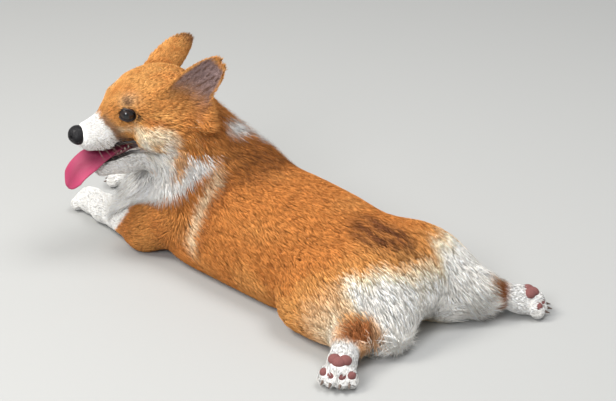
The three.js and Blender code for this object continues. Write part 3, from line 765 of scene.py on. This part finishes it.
# The lie wanders a little from lock to lock, and each tuft a little from its lock
sideways = unit(np.cross(out, lie))
wander = ripple(root, 34, 12) * 0.11 + ripple(root, 90, 13) * 0.16 + rng.normal(0, 0.08, count)
lie = lie - out * (lie * out).sum(1, keepdims=True)
lie = unit(unit(lie) + sideways * wander[:, None])
sideways = unit(np.cross(out, lie))
length *= rng.uniform(0.75, 1.2, count)
width *= rng.uniform(0.75, 1.25, count)


def gradient(points):
    return unit(np.stack([dog_distance(points + step) - dog_distance(points - step) for step in np.eye(3)], 1))


def lifted(points, level):
    # Moves points to a height over the skin
    for _ in range(2):
        slope = gradient(points)
        points = points + slope * (level - dog_distance(points))[:, None]
    return points


head_share, ear_share = head_and_ear_shares(weights)
mid = root + lie * length[:, None] * 0.5
tip = root + lie * length[:, None]
mid_height = depth * rng.uniform(0.45, 0.85, count) + 0.3
tip_height = depth * rng.uniform(0.35, 1.0, count) + 0.2
shaggy = weights[:, np.isin(coat_names, ["breeches", "bib", "ruff"])].sum(1)
tip_height *= 1 + shaggy * rng.uniform(0, 1.1, count)
follow = ear_share < 0.4
mid_rest = mid + out * mid_height[:, None]
tip_rest = tip + out * tip_height[:, None]
mid_rest[follow] = lifted(mid[follow], mid_height[follow])
tip_rest[follow] = lifted(tip[follow], tip_height[follow])
curl = (ripple(root, 20, 14) * 0.035 * length)[:, None] * sideways
mid_rest += curl
root_sink, box_margin = 0.8, 0.4
foot_of = root - out * root_sink
low_corner = np.array(packed_box[0]) * 1000 + box_margin
high_corner = np.array(packed_box[1]) * 1000 - box_margin

mid_out = unit(np.cross(tip_rest - mid_rest, sideways))
mid_out *= np.sign((mid_out * out).sum(1, keepdims=True))
half = (width / 2)[:, None]
# The points of a tuft: two at the root, a left, a right and a top one at its bend, and the tip
tuft_points = np.stack([
    foot_of + sideways * half * 0.8, foot_of - sideways * half * 0.8, mid_rest + sideways * half,
    mid_rest - sideways * half, mid_rest + mid_out * half * 0.35, tip_rest,
], 1)
tuft_points = np.clip(tuft_points, low_corner, high_corner)
tuft_faces = np.array([
    [0, 1, 3], [0, 3, 2], [1, 0, 4], [0, 2, 4], [1, 4, 3], [2, 3, 5], [3, 4, 5], [4, 2, 5],
])
root_colour = coat_colour(root)
vary = np.exp(rng.normal(0, 0.12, count) + ripple(root, 5, 15) * 0.07)[:, None]
# Painted shade and light: each tuft is darker at its two root points, where it sinks among the others, and lighter at
# its tip
root_shade_tip_light = np.array([0.84, 0.84, 0.98, 0.98, 1.0, 1.12])
tuft_colour = np.clip(root_colour * vary, 0, 1)[:, None] * root_shade_tip_light[:, None]
dark_tip = (np.exp(-((root[:, 0] / 62) ** 2) - ((root[:, 1] + 62) / 55) ** 2) * smooth(95, 140, root[:, 2]))
dark_tip *= rng.random(count) < 0.45
tuft_colour[:, 5] = mix(tuft_colour[:, 5], sable, dark_tip * 0.8)

coat_material = hair_material("outer coat", 0.7, 160, 0.1, 0, Specular_IOR_Level=0.2)
on_the_head = head_share + ear_share > 0.5
group_of = np.full(count, "back", dtype=object)
group_of[root[:, 1] < -75] = "neck"
group_of[root[:, 1] > 120] = "rump"
group_of[(root[:, 1] < -205) & (root[:, 2] < 60)] = "forelegs"
group_of[on_the_head] = "head"
group_of[on_the_head & (in_head(root)[:, 0] > 20)] = "face"
group_of[ear_share > 0.5] = "ears"
tufts_in_piece = 24_000
tile_columns, tile_rows = 3, 2
tuft_patch = 0.003
for group in sorted(set(group_of)):
    members = np.flatnonzero(group_of == group)
    order = np.argsort(in_head(root[members])[:, 1] if group in ("head", "face", "ears") else root[members, 0])
    members = members[order]
    pieces = max(1, math.ceil(len(members) / tufts_in_piece))
    for number, some in enumerate(np.array_split(members, pieces)):
        points = tuft_points[some].reshape(-1, 3)
        faces = (np.arange(len(some))[:, None, None] * 6 + tuft_faces).reshape(-1, 3)
        piece = make_mesh(f"coat_{group}_{number + 1}", points, faces)
        paint(piece, "coat", tuft_colour[some].reshape(-1, 3))
        # The unwrap turns the skin out onto six sheets, by the way each root faces
        axis = np.argmax(abs(out[some]), 1)
        tile = axis * 2 + (out[some, axis] > 0)
        span = root[some].max(0) - root[some].min(0) + 1
        flat = (root[some] - root[some].min(0)) / span
        u = tile % tile_columns + 0.02 + 0.95 * np.where(axis == 0, flat[:, 1], flat[:, 0])
        v = tile // tile_columns + 0.02 + 0.95 * np.where(axis == 2, flat[:, 1], flat[:, 2])
        corner = np.stack([u / tile_columns, v / tile_rows], 1)
        shape_uv = np.array([[0, 0], [1, 0], [0.1, 0.6], [0.9, 0.6], [0.5, 0.7], [0.5, 1]]) * tuft_patch
        uv = (corner[:, None] + shape_uv).reshape(-1, 2)[faces.ravel()]
        layer = piece.data.uv_layers.new(name="OFBake")
        layer.data.foreach_set("uv", uv.astype(np.float32).ravel())
        piece.data.materials.append(coat_material)
        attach(piece, "root")

# The eyes: dark brown balls that sit in the sockets of the skin, clear and wet outside. The iris and pupil are round
# and painted by the angle from the gaze, and the cornea bulges over them.


def round_turn(count):
    return np.linspace(0, 2 * math.pi, count, endpoint=False)


def closed_faces(rows, around):
    # Triangles between rows of points that go round, and a fan to a pole at each end
    j = np.arange(around)
    k = (j + 1) % around
    faces = [np.stack([j * 0, 1 + j, 1 + k], 1)]
    for i in range(rows - 1):
        p, q = 1 + i * around, 1 + (i + 1) * around
        faces += [np.stack([p + j, q + j, q + k], 1), np.stack([p + j, q + k, p + k], 1)]
    last = 1 + (rows - 1) * around
    faces.append(np.stack([last + j, j * 0 + rows * around + 1, last + k], 1))
    return np.concatenate(faces)


def ball(centre, radii, around, high):
    theta = np.linspace(0, math.pi, high + 1)[1:-1, None]
    phi = round_turn(around)
    ring = np.stack([np.sin(theta) * np.cos(phi), np.sin(theta) * np.sin(phi), np.cos(theta) + phi * 0], -1)
    points = np.vstack([[0, 0, 1], ring.reshape(-1, 3), [0, 0, -1]]) * radii + centre
    return points, closed_faces(high - 1, around)


eye_material, eye_tree, eye_shader = principled(
    "wet eye", 0.3, Coat_Weight=0.9, Coat_Roughness=0.02, Specular_IOR_Level=0.2
)
iris_noise = add_node(eye_tree, "ShaderNodeTexNoise", {"Scale": 900})
iris_tint = add_node(eye_tree, "ShaderNodeMixRGB", {
    "Fac": 0.35, "Color1": painted(eye_tree, "iris"), "Color2": iris_noise.outputs["Color"],
}, blend_type="MULTIPLY")
set_sockets(eye_tree, eye_shader, {"Base Color": iris_tint.outputs["Color"]})
eyes = ((1, eye_centres[0], "left"), (-1, eye_centres[1], "right"))
for side, centre, name in eyes:
    points, faces = ball(centre, np.full(3, eye_radius - 0.1), 64, 40)
    gaze = unit(np.array([0.52, side * 0.84, 0.1]))
    angle = np.arccos(np.clip(unit(points - centre) @ gaze, -1, 1))
    bulge = 0.7 * smooth(0.62, 0.1, angle)
    points = points + unit(points - centre) * bulge[:, None]
    colour = mix(shade(26, 17, 14), shade(38, 21, 13), smooth(0.72, 0.62, angle))
    colour = mix(colour, shade(20, 12, 9), smooth(0.6, 0.66, angle) * smooth(0.76, 0.7, angle))
    colour = mix(colour, shade(6, 5, 6), smooth(0.36, 0.31, angle))
    eye = make_mesh(f"eyeball_{name}", to_world(points), faces)
    paint(eye, "iris", colour)
    eye.data.materials.append(eye_material)
    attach(eye, "root")
    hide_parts(f"eye_{name}")

# The eyelids: black, moist skin that lies on the eyeball as a rim round an almond opening and runs out under the fur
# of the face. Each is one closed ring, swept round the opening from its profile.
lid_material, lid_tree, lid_shader = principled("eyelid", 0.4, Specular_IOR_Level=0.45)
set_sockets(lid_tree, lid_shader, {"Base Color": painted(lid_tree, "lid")})
lid_noise = add_node(lid_tree, "ShaderNodeTexNoise", {"Scale": 700})
add_bump(lid_tree, lid_shader, lid_noise.outputs["Fac"], 0.3, 0.0004)
opening_half_width, upper_height, lower_height = 12.4, 7.3, 6.6
lid_profile = [(0.97, 0.1), (0.98, 1.0), (1.06, 1.5), (1.22, 1.5), (1.5, 0.4), (1.55, -1.5), (1.2, -0.8)]
turn = round_turn(72)
for side, centre, name in eyes:
    look = unit(np.array([0.5, side * 0.85, 0.12]))
    corner_way = unit(np.cross(up, look) * -side)
    rise = np.cross(look, corner_way) * -side
    rise *= np.sign(rise[2])
    almond_x = opening_half_width * np.cos(turn)
    almond_y = np.where(np.sin(turn) > 0, upper_height, lower_height) * np.abs(np.sin(turn)) ** 1.2
    almond_y = almond_y * np.sign(np.sin(turn)) + almond_x * 0.1
    rows, colours = [], []
    for spread_out, height in lid_profile:
        flat = np.stack([almond_x * (1 + (spread_out - 1) * 0.4), almond_y * spread_out], 1)
        stand = np.sqrt(np.maximum(eye_radius**2 - (flat**2).sum(1), 4.0))
        way = unit(flat[:, :1] * corner_way + flat[:, 1:] * rise + stand[:, None] * look)
        rows.append(centre + way * (eye_radius + height))
        colours.append(np.tile(mix(lip_black, deep, smooth(1.12, 1.5, spread_out) * 0.6), (len(turn), 1)))
    j = np.arange(len(turn))
    k = (j + 1) % len(turn)
    starts = [(i * len(turn), (i + 1) % len(lid_profile) * len(turn)) for i in range(len(lid_profile))]
    faces = np.concatenate([np.stack([here + j, here + k, there + k, there + j], 1) for here, there in starts])
    if side < 0:
        faces = faces[:, ::-1]
    lid = make_mesh(f"eyelids_{name}", to_world(np.concatenate(rows)), faces)
    paint(lid, "lid", np.concatenate(colours))
    lid.data.materials.append(lid_material)
    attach(lid, "root")

# The nose leather: a black, moist, pebbled pad at the end of the muzzle, with two comma-shaped nostrils and a groove
# down its middle.


def nose_distance(points):
    q = in_head(points)
    side_q = to_left(q)
    d = distance(egg((118, 0, -27), (13.5, 14.5, 13.5), "nose", rearward), q)
    wing = distance(egg((120, 9, -29), (8.5, 7.5, 8.5), "nose", rearward), side_q)
    d = soft_min(d, wing, 3)
    hole = distance(rod((135, 5.6, -27), 3.0, (125, 7.0, -26.5), 2.6, "nose"), side_q, False)
    slit = distance(rod((131, 8, -29), 1.6, (120, 17.5, -31), 1.2, "nose"), side_q, False)
    groove = distance(rod((134, 0, -30), 1.0, (122, 0, -43), 1.2, "nose"), q, False)
    return np.maximum(np.maximum(d, -soft_min(hole, slit, 1.5)), -groove)


nose_middle, nose_reach, nose_cell = on_head(118, 0, -27), 22, 0.75
nose_points, nose_faces = surface(nose_middle - nose_reach, nose_middle + nose_reach, nose_cell, nose_distance)
nose_points = np.clip(nose_points, low_corner, high_corner)
nose = make_mesh("nose_leather", nose_points, nose_faces)
nose_material, nose_tree, nose_shader = principled(
    "nose leather", 0.5, Specular_IOR_Level=0.25, Coat_Weight=0.05, Base_Color=(*shade(15, 13, 16), 1)
)
nose_place = add_node(nose_tree, "ShaderNodeTexCoord").outputs["Object"]
pebble = add_node(nose_tree, "ShaderNodeTexVoronoi", {"Vector": nose_place, "Scale": 620})
add_bump(nose_tree, nose_shader, pebble.outputs["Distance"], 0.7, 0.0007)
nose.data.materials.append(nose_material)
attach(nose, "root")
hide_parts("nose")

# The tongue: a soft, wet, pink muscle, narrow between the teeth, that widens and hangs over the end of the jaw with a
# groove along its middle.
tongue_rows, tongue_around = 60, 32
tongue_half_width, tongue_thick = 19.0, 3.9
tongue_curve = through([(36, 0, -49), (60, 0, -54.5), (92, 2, -63), (119, 4, -79), (136, 4, -104)], tongue_rows + 2)
tongue_way = unit(np.gradient(tongue_curve, axis=0))
tongue_roll = 0.62 * smooth(0.1, 0.6, np.linspace(0, 1, tongue_rows + 2))
tongue_across = np.stack([tongue_roll * 0, np.cos(tongue_roll), -np.sin(tongue_roll)], 1)
tongue_across = unit(tongue_across - tongue_way * (tongue_across * tongue_way).sum(1, keepdims=True))
tongue_face = np.cross(tongue_across, tongue_way)
tongue_face *= np.sign(tongue_face[:, 2:3] + tongue_face[:, 0:1] * 0.5)
run = np.linspace(0, 1, tongue_rows + 2)[1:-1]
tongue_half = tongue_half_width * np.minimum(1, 0.42 + run * 0.95)
tongue_half = tongue_half * np.minimum(1, np.minimum((1 - run) / 0.14, run / 0.05)) ** 0.5
cx, cz = np.cos(round_turn(tongue_around)), np.sin(round_turn(tongue_around))
rows = []
for i in range(tongue_rows):
    half, s = tongue_half[i], run[i]
    thick = (tongue_thick - s) * np.sign(cz) * abs(cz) ** 0.8
    trough = 2.2 * math.sin(math.pi * s) * cx**2 + 0.8 * s * cx**2
    groove = -1.3 * np.exp(-((cx * half / 2.0) ** 2)) * (cz > 0) * smooth(0.05, 0.3, s) * smooth(0.97, 0.8, s)
    wave = 0.5 * math.sin(s * 17) * cx**2 * s
    ring = np.outer(cx * half, tongue_across[i + 1]) + tongue_curve[i + 1]
    rows.append(ring + np.outer(thick + trough + groove + wave, tongue_face[i + 1]))
tongue_points = np.vstack([tongue_curve[:1], *rows, tongue_curve[-1:]])
tongue_faces = closed_faces(tongue_rows, tongue_around)
if np.cross(tongue_across[3], tongue_face[3]) @ tongue_way[3] > 0:
    tongue_faces = tongue_faces[:, ::-1]
tongue = make_mesh("tongue_flesh", to_world(tongue_points), tongue_faces)
# Painted shade: the tongue is darker towards its root inside the mouth and along the middle of its upper and under
# sides, where the groove runs, and full pink at its edges and tip
tongue_tone = np.concatenate([[0], np.repeat(run, tongue_around), [1]])
lit_edge_shaded_middle = np.concatenate([[0], np.tile(abs(cx), tongue_rows), [0.5]])
pink_where_lit = smooth(0.1, 0.8, tongue_tone) * (0.45 + 0.55 * lit_edge_shaded_middle)
paint(tongue, "flesh", mix(shade(112, 24, 54), shade(182, 60, 100), pink_where_lit))
tongue_material, tongue_tree, tongue_shader = principled(
    "tongue", 0.42, Specular_IOR_Level=0.4, Subsurface_Weight=0.1, Subsurface_Radius=(0.004, 0.0012, 0.0012)
)
set_sockets(tongue_tree, tongue_shader, {"Base Color": painted(tongue_tree, "flesh")})
tongue_grain = add_node(tongue_tree, "ShaderNodeTexVoronoi", {"Scale": 900})
add_bump(tongue_tree, tongue_shader, tongue_grain.outputs["Distance"], 0.4, 0.0005)
tongue.data.materials.append(tongue_material)
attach(tongue, "root")
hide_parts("tongue")

# The claws: dark horn spikes that grow from the end of each toe. One tree sets a cone on every point, aimed and sized
# by the point, for the teeth and whiskers too.
spikes = bpy.data.node_groups.new("spikes on points", "GeometryNodeTree")
for socket_name, kind, way in (
    ("Geometry", "Geometry", "INPUT"), ("Root radius", "Float", "INPUT"), ("Tip radius", "Float", "INPUT"),
    ("Length", "Float", "INPUT"), ("Sides", "Int", "INPUT"), ("Material", "Material", "INPUT"),
    ("Geometry", "Geometry", "OUTPUT"),
):
    spikes.interface.new_socket(socket_name, in_out=way, socket_type="NodeSocket" + kind)
given = add_node(spikes, "NodeGroupInput").outputs
cone = add_node(spikes, "GeometryNodeMeshCone", {
    "Side Segments": 4, "Radius Bottom": given["Root radius"], "Radius Top": given["Tip radius"],
    "Depth": given["Length"], "Vertices": given["Sides"],
})
shaded = add_node(spikes, "GeometryNodeSetShadeSmooth", {"Geometry": cone.outputs["Mesh"]})
aim = add_node(spikes, "GeometryNodeInputNamedAttribute", {"Name": "aim"}, data_type="FLOAT_VECTOR")
size = add_node(spikes, "GeometryNodeInputNamedAttribute", {"Name": "size"}, data_type="FLOAT")
align = add_node(spikes, "FunctionNodeAlignRotationToVector", {"Vector": aim.outputs["Attribute"]}, axis="Z")
put = add_node(spikes, "GeometryNodeInstanceOnPoints", {
    "Points": given["Geometry"], "Instance": shaded.outputs["Geometry"], "Rotation": align.outputs["Rotation"],
    "Scale": size.outputs["Attribute"],
})
real = add_node(spikes, "GeometryNodeRealizeInstances", {"Geometry": put.outputs["Instances"]})
cover = add_node(spikes, "GeometryNodeSetMaterial", {
    "Geometry": real.outputs["Geometry"], "Material": given["Material"],
})
add_node(spikes, "NodeGroupOutput", {"Geometry": cover.outputs["Geometry"]})


def spike_piece(name, points, aims, sizes, material, root_radius, tip_radius, spike_length, sides):
    seeds = bpy.data.meshes.new(name + " points")
    seeds.from_pydata([Vector(p) / 1000 for p in points], [], [])
    seeds.attributes.new("aim", "FLOAT_VECTOR", "POINT").data.foreach_set("vector", np.array(aims, np.float32).ravel())
    seeds.attributes.new("size", "FLOAT", "POINT").data.foreach_set("value", np.array(sizes, np.float32))
    holder = bpy.data.objects.new(name, seeds)
    bpy.context.scene.collection.objects.link(holder)
    modifier = holder.modifiers.new("spikes", "NODES")
    modifier.node_group = spikes
    wanted = {
        "Root radius": root_radius, "Tip radius": tip_radius, "Length": spike_length, "Sides": sides,
        "Material": material,
    }
    for item in spikes.interface.items_tree:
        if item.in_out == "INPUT" and item.name in wanted:
            modifier[item.identifier] = wanted[item.name]
    made = bpy.data.meshes.new_from_object(holder.evaluated_get(bpy.context.evaluated_depsgraph_get()))
    holder.modifiers.clear()
    holder.data = made
    return holder


def add_ramp(tree, shader, pattern, low, high):
    # The base colour goes from low to high with a pattern
    ramp = add_node(tree, "ShaderNodeValToRGB", {"Fac": pattern})
    for stop, colour in zip(ramp.color_ramp.elements, (low, high)):
        stop.color = (*colour, 1)
    set_sockets(tree, shader, {"Base Color": ramp.outputs["Color"]})


def mottled(name, roughness, scale, low, high, **sockets):
    material, tree, shader = principled(name, roughness, **sockets)
    add_ramp(tree, shader, add_node(tree, "ShaderNodeTexNoise", {"Scale": scale}).outputs["Fac"], low, high)
    return material


horn = mottled("claw horn", 0.35, 500, shade(46, 36, 32), shade(120, 98, 84), Specular_IOR_Level=0.5)
claw_sink = 3
claw_points, claw_aims = [], []
for limb in limbs:
    for start, toes, height in ((limb["wrist"], limb["fore_toes"], 9), (limb["hock"], limb["hind_toes"], 11)):
        at = paw_place(start, toes)
        for s, end in zip(toe_spread, toe_places(at, 1, height)):
            way = unit(at(1, s * 0.012, -0.28) - at(0, 0, 0))
            claw_points.append(end - way * claw_sink)
            claw_aims.append(way)
claws = spike_piece("claws", claw_points, claw_aims, np.ones(len(claw_points)), horn, 0.0026, 0.0005, 0.0095, 14)
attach(claws, "root")

# The lower teeth: small ivory cones of enamel in a row round the jaw, with a longer canine on each side. They stand
# in the gum.
enamel = mottled(
    "tooth enamel", 0.22, 300, shade(214, 200, 172), shade(240, 232, 214), Specular_IOR_Level=0.5, Coat_Weight=0.3
)
near_row = [(46, 13, -53), (66, 11.5, -62), (81, 9, -69)]
tooth_path = through(near_row + [(88.5, 0, -73)] + [(x, -y, z) for x, y, z in near_row[::-1]], 200)
teeth_count = 22
tooth_places = tooth_path[np.linspace(6, 193, teeth_count).astype(int)]
tooth_sizes = np.where(abs(abs(tooth_places[:, 1]) - 9) < 0.9, 1.35, 0.85)
tooth_aims = np.tile(head_way(0.1, 0, 1), (teeth_count, 1))
teeth = spike_piece("teeth", to_world(tooth_places), tooth_aims, tooth_sizes, enamel, 0.0017, 0.0004, 0.0062, 12)
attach(teeth, "root")
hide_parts("lower_teeth")

# The whiskers: thin dark bristles in rows on each side of the muzzle, rooted in its skin. They are set by the same
# tree as the claws.
whisker_points, whisker_aims = [], []
for side in (1, -1):
    for row in range(4):
        for place in range(4):
            x, z = 100 - place * 8 - row % 2 * 3, -26 - row * 5.5
            y = 15.5 + place * 1.6 + (row == 1) * 1.5
            way = unit(np.array([-0.15 - place * 0.16, 0.9, -0.1 - row * 0.12 + rng.normal(0, 0.06)]) * [1, side, 1])
            whisker_points.append(np.array([x, side * y, z]) + way * 9)
            whisker_aims.append(way)
bristle = mottled("whisker", 0.45, 200, shade(40, 30, 26), shade(120, 100, 84))
whiskers = spike_piece(
    "whiskers", to_world(whisker_points), np.array(whisker_aims) @ head_axes,
    rng.uniform(0.75, 1.1, len(whisker_points)), bristle, 0.0003, 0.00008, 0.026, 6,
)
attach(whiskers, "root")

# The gum: a low, wet, dark pink ridge round the jaw that holds the lower teeth. It is one round bead along the row of
# teeth.
gum_rows, gum_around, gum_radius = 60, 12, 2.2
gum_curve = tooth_path[np.linspace(0, 199, gum_rows).astype(int)]
gum_way = unit(np.gradient(gum_curve, axis=0))
gum_side = unit(np.cross(gum_way, up))
gum_up = np.cross(gum_side, gum_way)
gum_turn = round_turn(gum_around)
gum_rings = [
    gum_curve[i] + gum_radius * (np.outer(np.cos(gum_turn), gum_side[i]) + np.outer(np.sin(gum_turn), gum_up[i]))
    for i in range(gum_rows)
]
gum_points = to_world(np.vstack([gum_curve[:1], *gum_rings, gum_curve[-1:]]))
gum = make_mesh("gum", gum_points, closed_faces(gum_rows, gum_around))
gum.data.materials.append(mottled("gum", 0.3, 250, shade(60, 26, 30), shade(140, 66, 76), Specular_IOR_Level=0.5))
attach(gum, "root")

# The bare pads of the hind feet, whose soles are turned up: dusky pink, leathery cushions, one to each toe and one
# behind them.
pad_balls = []
for limb in limbs:
    at = paw_place(limb["hock"], limb["hind_toes"])
    pad_balls += [ball(place, (6.4, 6.4, 5.6), 24, 16) for place in toe_places(at, toe_back, 18.5)]
    pad_balls += [ball(at(-27, s, 32), (8.5, 8.5, 6.5), 32, 20) for s in (-6.5, 6.5)]
    pad_balls.append(ball(at(-22, 0, 31.5), (9, 9, 6.5), 32, 20))
starts = np.cumsum([0] + [len(points) for points, _ in pad_balls])
pad_points = np.concatenate([points for points, _ in pad_balls])
pad_faces = np.concatenate([faces + start for (_, faces), start in zip(pad_balls, starts)])
pads = make_mesh("pads", pad_points, pad_faces)
pad_material, pad_tree, pad_shader = principled("pad leather", 0.7, Specular_IOR_Level=0.3)
pad_cells = add_node(pad_tree, "ShaderNodeTexVoronoi", {"Scale": 700}).outputs["Distance"]
add_ramp(pad_tree, pad_shader, pad_cells, shade(158, 100, 96), shade(106, 66, 64))
add_bump(pad_tree, pad_shader, pad_cells, 0.6, 0.0006)
pads.data.materials.append(pad_material)
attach(pads, "root")

# The stage: a plain pale floor, soft studio light from above and an even light all round. The view transform is
# Standard, so that the colours of the coat come out as they are given.
reach = 8
floor_mesh = bpy.data.meshes.new("floor")
floor_mesh.from_pydata([(-reach, -reach, 0), (reach, -reach, 0), (reach, reach, 0), (-reach, reach, 0)], [], [range(4)])
floor = bpy.data.objects.new("floor", floor_mesh)
bpy.context.scene.collection.objects.link(floor)
floor.data.materials.append(principled("floor", 0.85, Base_Color=(0.4, 0.4, 0.39, 1))[0])

world = bpy.data.worlds.new("studio")
bpy.context.scene.world = world
bpy.context.scene.view_settings.view_transform = "Standard"
world.use_nodes = True
set_sockets(world.node_tree, world.node_tree.nodes["Background"], {"Color": (0.95, 0.97, 1, 1), "Strength": 0.5})


def soft_light(name, spot, aimed, size, power, colour):
    lamp = bpy.data.lights.new(name, "AREA")
    lamp.shape = "DISK"
    lamp.size = size
    lamp.energy = power
    lamp.color = colour
    holder = bpy.data.objects.new(name, lamp)
    holder.location = spot
    holder.rotation_euler = (Vector(aimed) - Vector(spot)).to_track_quat("-Z", "Y").to_euler()
    bpy.context.scene.collection.objects.link(holder)


soft_light("key light", (1.3, -1.0, 2.2), (0.05, -0.05, 0.1), 1.1, 58, (1, 0.98, 0.93))
soft_light("fill light", (1.84, 0.65, 1.45), (0.05, -0.05, 0.15), 0.85, 27, (0.97, 0.98, 1))
soft_light("top light", (-0.6, 0.6, 2.6), (0, 0, 0.1), 1.4, 42, (1, 1, 1))

# The camera: it looks down on the dog's left side from behind, as in the photograph. The part fills the frame as it
# does there.
camera_turn, camera_height = math.radians(134), math.radians(25)
camera_distance = 2.1
half_view = math.radians(10.35)
camera_aim = Vector((0.1029, 0.1539, 0.1889))
camera_back = Vector((
    math.sin(camera_turn) * math.cos(camera_height), -math.cos(camera_turn) * math.cos(camera_height),
    math.sin(camera_height),
))
camera = bpy.data.objects.new("camera", bpy.data.cameras.new("camera"))
camera.data.sensor_width = 36
camera.data.lens = camera.data.sensor_width / 2 / math.tan(half_view)
camera.location = camera_aim + camera_back * camera_distance
camera.rotation_euler = camera_back.to_track_quat("Z", "Y").to_euler()
bpy.context.scene.collection.objects.link(camera)
bpy.context.scene.camera = camera
